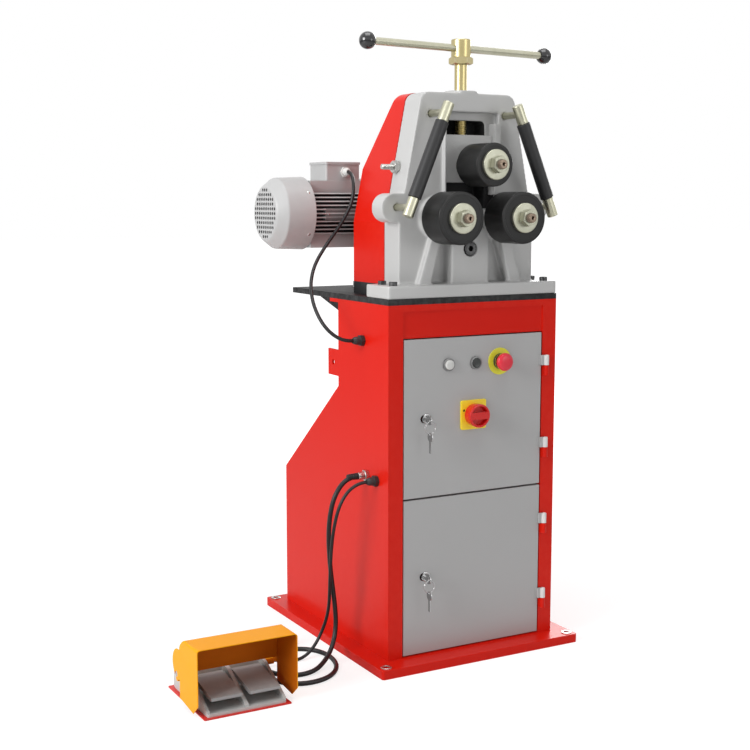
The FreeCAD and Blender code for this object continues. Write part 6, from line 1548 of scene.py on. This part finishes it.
class RINGROLLER_OT_stage(bpy.types.Operator):
    """Places the camera, the lamps, the sky and the floor."""

    bl_idname = "ring_roller.stage"
    bl_label = "Stage"

    def execute(self, context):
        stage = context.scene.ring_roller_stage
        context.scene.view_settings.view_transform = "Standard"
        self.place_camera(context, stage)
        self.light(context, stage)
        self.lay_floor(context)
        return {"FINISHED"}

    def place_camera(self, context, stage):
        data = bpy.data.cameras.new("camera")
        data.lens = stage.camera_lens
        data.sensor_width = 36.0
        data.sensor_fit = "HORIZONTAL"
        data.clip_start, data.clip_end = 0.05, 60.0
        camera = bpy.data.objects.new("camera", data)
        context.scene.collection.objects.link(camera)
        yaw, pitch = stage.camera_yaw, stage.camera_pitch
        ahead = Vector((math.sin(yaw) * math.cos(pitch), math.cos(yaw) * math.cos(pitch),
                        math.sin(pitch)))
        camera.location = stage.camera_place
        camera.rotation_mode = "QUATERNION"
        camera.rotation_quaternion = ahead.to_track_quat("-Z", "Y")
        context.scene.camera = camera

    def light(self, context, stage):
        world = bpy.data.worlds.new("studio")
        world.use_nodes = True
        context.scene.world = world
        tree = world.node_tree
        tree.nodes.clear()
        sky, backdrop = (add_node(tree, "ShaderNodeBackground",
                                  {"Color": WHITE, "Strength": strength})
                         for strength in (stage.sky_strength, 1.0))
        ray = add_node(tree, "ShaderNodeLightPath").outputs
        seen = math_node(tree, "MAXIMUM", ray["Is Camera Ray"], ray["Is Glossy Ray"])
        seen = math_node(tree, "MAXIMUM", seen, ray["Is Transmission Ray"])
        mixed = add_node(tree, "ShaderNodeMixShader", {0: seen, 1: sky.outputs[0],
                                                       2: backdrop.outputs[0]})
        output = add_node(tree, "ShaderNodeOutputWorld")
        tree.links.new(mixed.outputs[0], output.inputs[0])
        for name, place, target, size, power in (
                ("key", (-4.2, -0.9, 2.2), (-0.1, 0.0, 0.8), 2.0, 150.0),
                ("top", (-0.4, -0.6, 4.2), (-0.1, 0.0, 0.6), 2.4, 62.0),
                ("front", (1.6, -4.0, 1.5), (0.0, -0.2, 0.7), 1.6, 20.0),
                ("fill", (3.2, 2.6, 2.0), (0.0, 0.0, 0.7), 2.0, 75.0)):
            lamp = bpy.data.lights.new(name, "AREA")
            lamp.shape = "SQUARE"
            lamp.size = size
            lamp.energy = power
            holder = bpy.data.objects.new(name, lamp)
            context.scene.collection.objects.link(holder)
            holder.location = place
            holder.rotation_mode = "QUATERNION"
            holder.rotation_quaternion = (Vector(target) - Vector(place)).to_track_quat("-Z", "Y")

    def lay_floor(self, context):
        """The floor; the camera sees it lit near the machine and plain white further off."""
        deselect()
        bpy.ops.mesh.primitive_plane_add(size=60.0, location=(0, 0, 0))
        floor = context.object
        floor.name = "floor"
        material = bpy.data.materials.new("pale_floor")
        material.use_nodes = True
        tree = material.node_tree
        shader = tree.nodes["Principled BSDF"]
        shader.inputs["Base Color"].default_value = (0.80, 0.80, 0.80, 1)
        shader.inputs["Roughness"].default_value = 0.9
        shader.inputs["Specular IOR Level"].default_value = 0.1
        shown = add_node(tree, "ShaderNodeBsdfDiffuse", {"Color": (0.40, 0.40, 0.40, 1)})
        place = add_node(tree, "ShaderNodeTexCoord").outputs["Object"]
        reach = add_node(tree, "ShaderNodeVectorMath", {0: place}, operation="LENGTH")
        fade = span(tree, reach.outputs["Value"], 0.9, 2.2, 0.70, 1.0)
        glow = add_node(tree, "ShaderNodeEmission", {"Color": WHITE, "Strength": fade})
        bright = add_node(tree, "ShaderNodeAddShader", {0: shown.outputs[0], 1: glow.outputs[0]})
        ray = add_node(tree, "ShaderNodeLightPath").outputs["Is Camera Ray"]
        mixed = add_node(tree, "ShaderNodeMixShader",
                         {0: ray, 1: shader.outputs[0], 2: bright.outputs[0]})
        tree.links.new(mixed.outputs[0], tree.nodes["Material Output"].inputs[0])
        floor.data.materials.append(material)


PIECE_OPERATORS = (
    RINGROLLER_OT_finishes,
    RINGROLLER_OT_cords,
    RINGROLLER_OT_sheet_metal,
    RINGROLLER_OT_casting,
    RINGROLLER_OT_rolls,
    RINGROLLER_OT_pressure_screw,
    RINGROLLER_OT_guides,
    RINGROLLER_OT_motor,
    RINGROLLER_OT_controls,
    RINGROLLER_OT_door_fittings,
    RINGROLLER_OT_glands,
    RINGROLLER_OT_pedal,
    RINGROLLER_OT_stage,
)


class RINGROLLER_PT_panel(bpy.types.Panel):
    """Lists the settings and the pieces of the ring roller."""

    bl_idname = "RINGROLLER_PT_panel"
    bl_label = "Ring Roller"
    bl_space_type = "VIEW_3D"
    bl_region_type = "UI"
    bl_category = "Ring Roller"

    def draw(self, context):
        layout = self.layout
        for settings in (context.scene.ring_roller_colours, context.scene.ring_roller_sizes,
                         context.scene.ring_roller_stage):
            box = layout.box()
            for name in settings.__annotations__:
                box.prop(settings, name)
        for operator in PIECE_OPERATORS:
            layout.operator(operator.bl_idname)


SETTINGS = {
    "ring_roller_colours": RingRollerColours,
    "ring_roller_sizes": RingRollerSizes,
    "ring_roller_stage": RingRollerStage,
}


def register():
    for group in SETTINGS.values():
        bpy.utils.register_class(group)
    for name, group in SETTINGS.items():
        setattr(bpy.types.Scene, name, bpy.props.PointerProperty(type=group))
    for operator in PIECE_OPERATORS:
        bpy.utils.register_class(operator)
    bpy.utils.register_class(RINGROLLER_PT_panel)


def unregister():
    bpy.utils.unregister_class(RINGROLLER_PT_panel)
    for operator in reversed(PIECE_OPERATORS):
        bpy.utils.unregister_class(operator)
    for name in SETTINGS:
        delattr(bpy.types.Scene, name)
    for group in reversed(list(SETTINGS.values())):
        bpy.utils.unregister_class(group)


def main():
    register()
    for operator in PIECE_OPERATORS:
        area, name = operator.bl_idname.split(".")
        getattr(getattr(bpy.ops, area), name)()


if __name__ == "__main__":
    main()
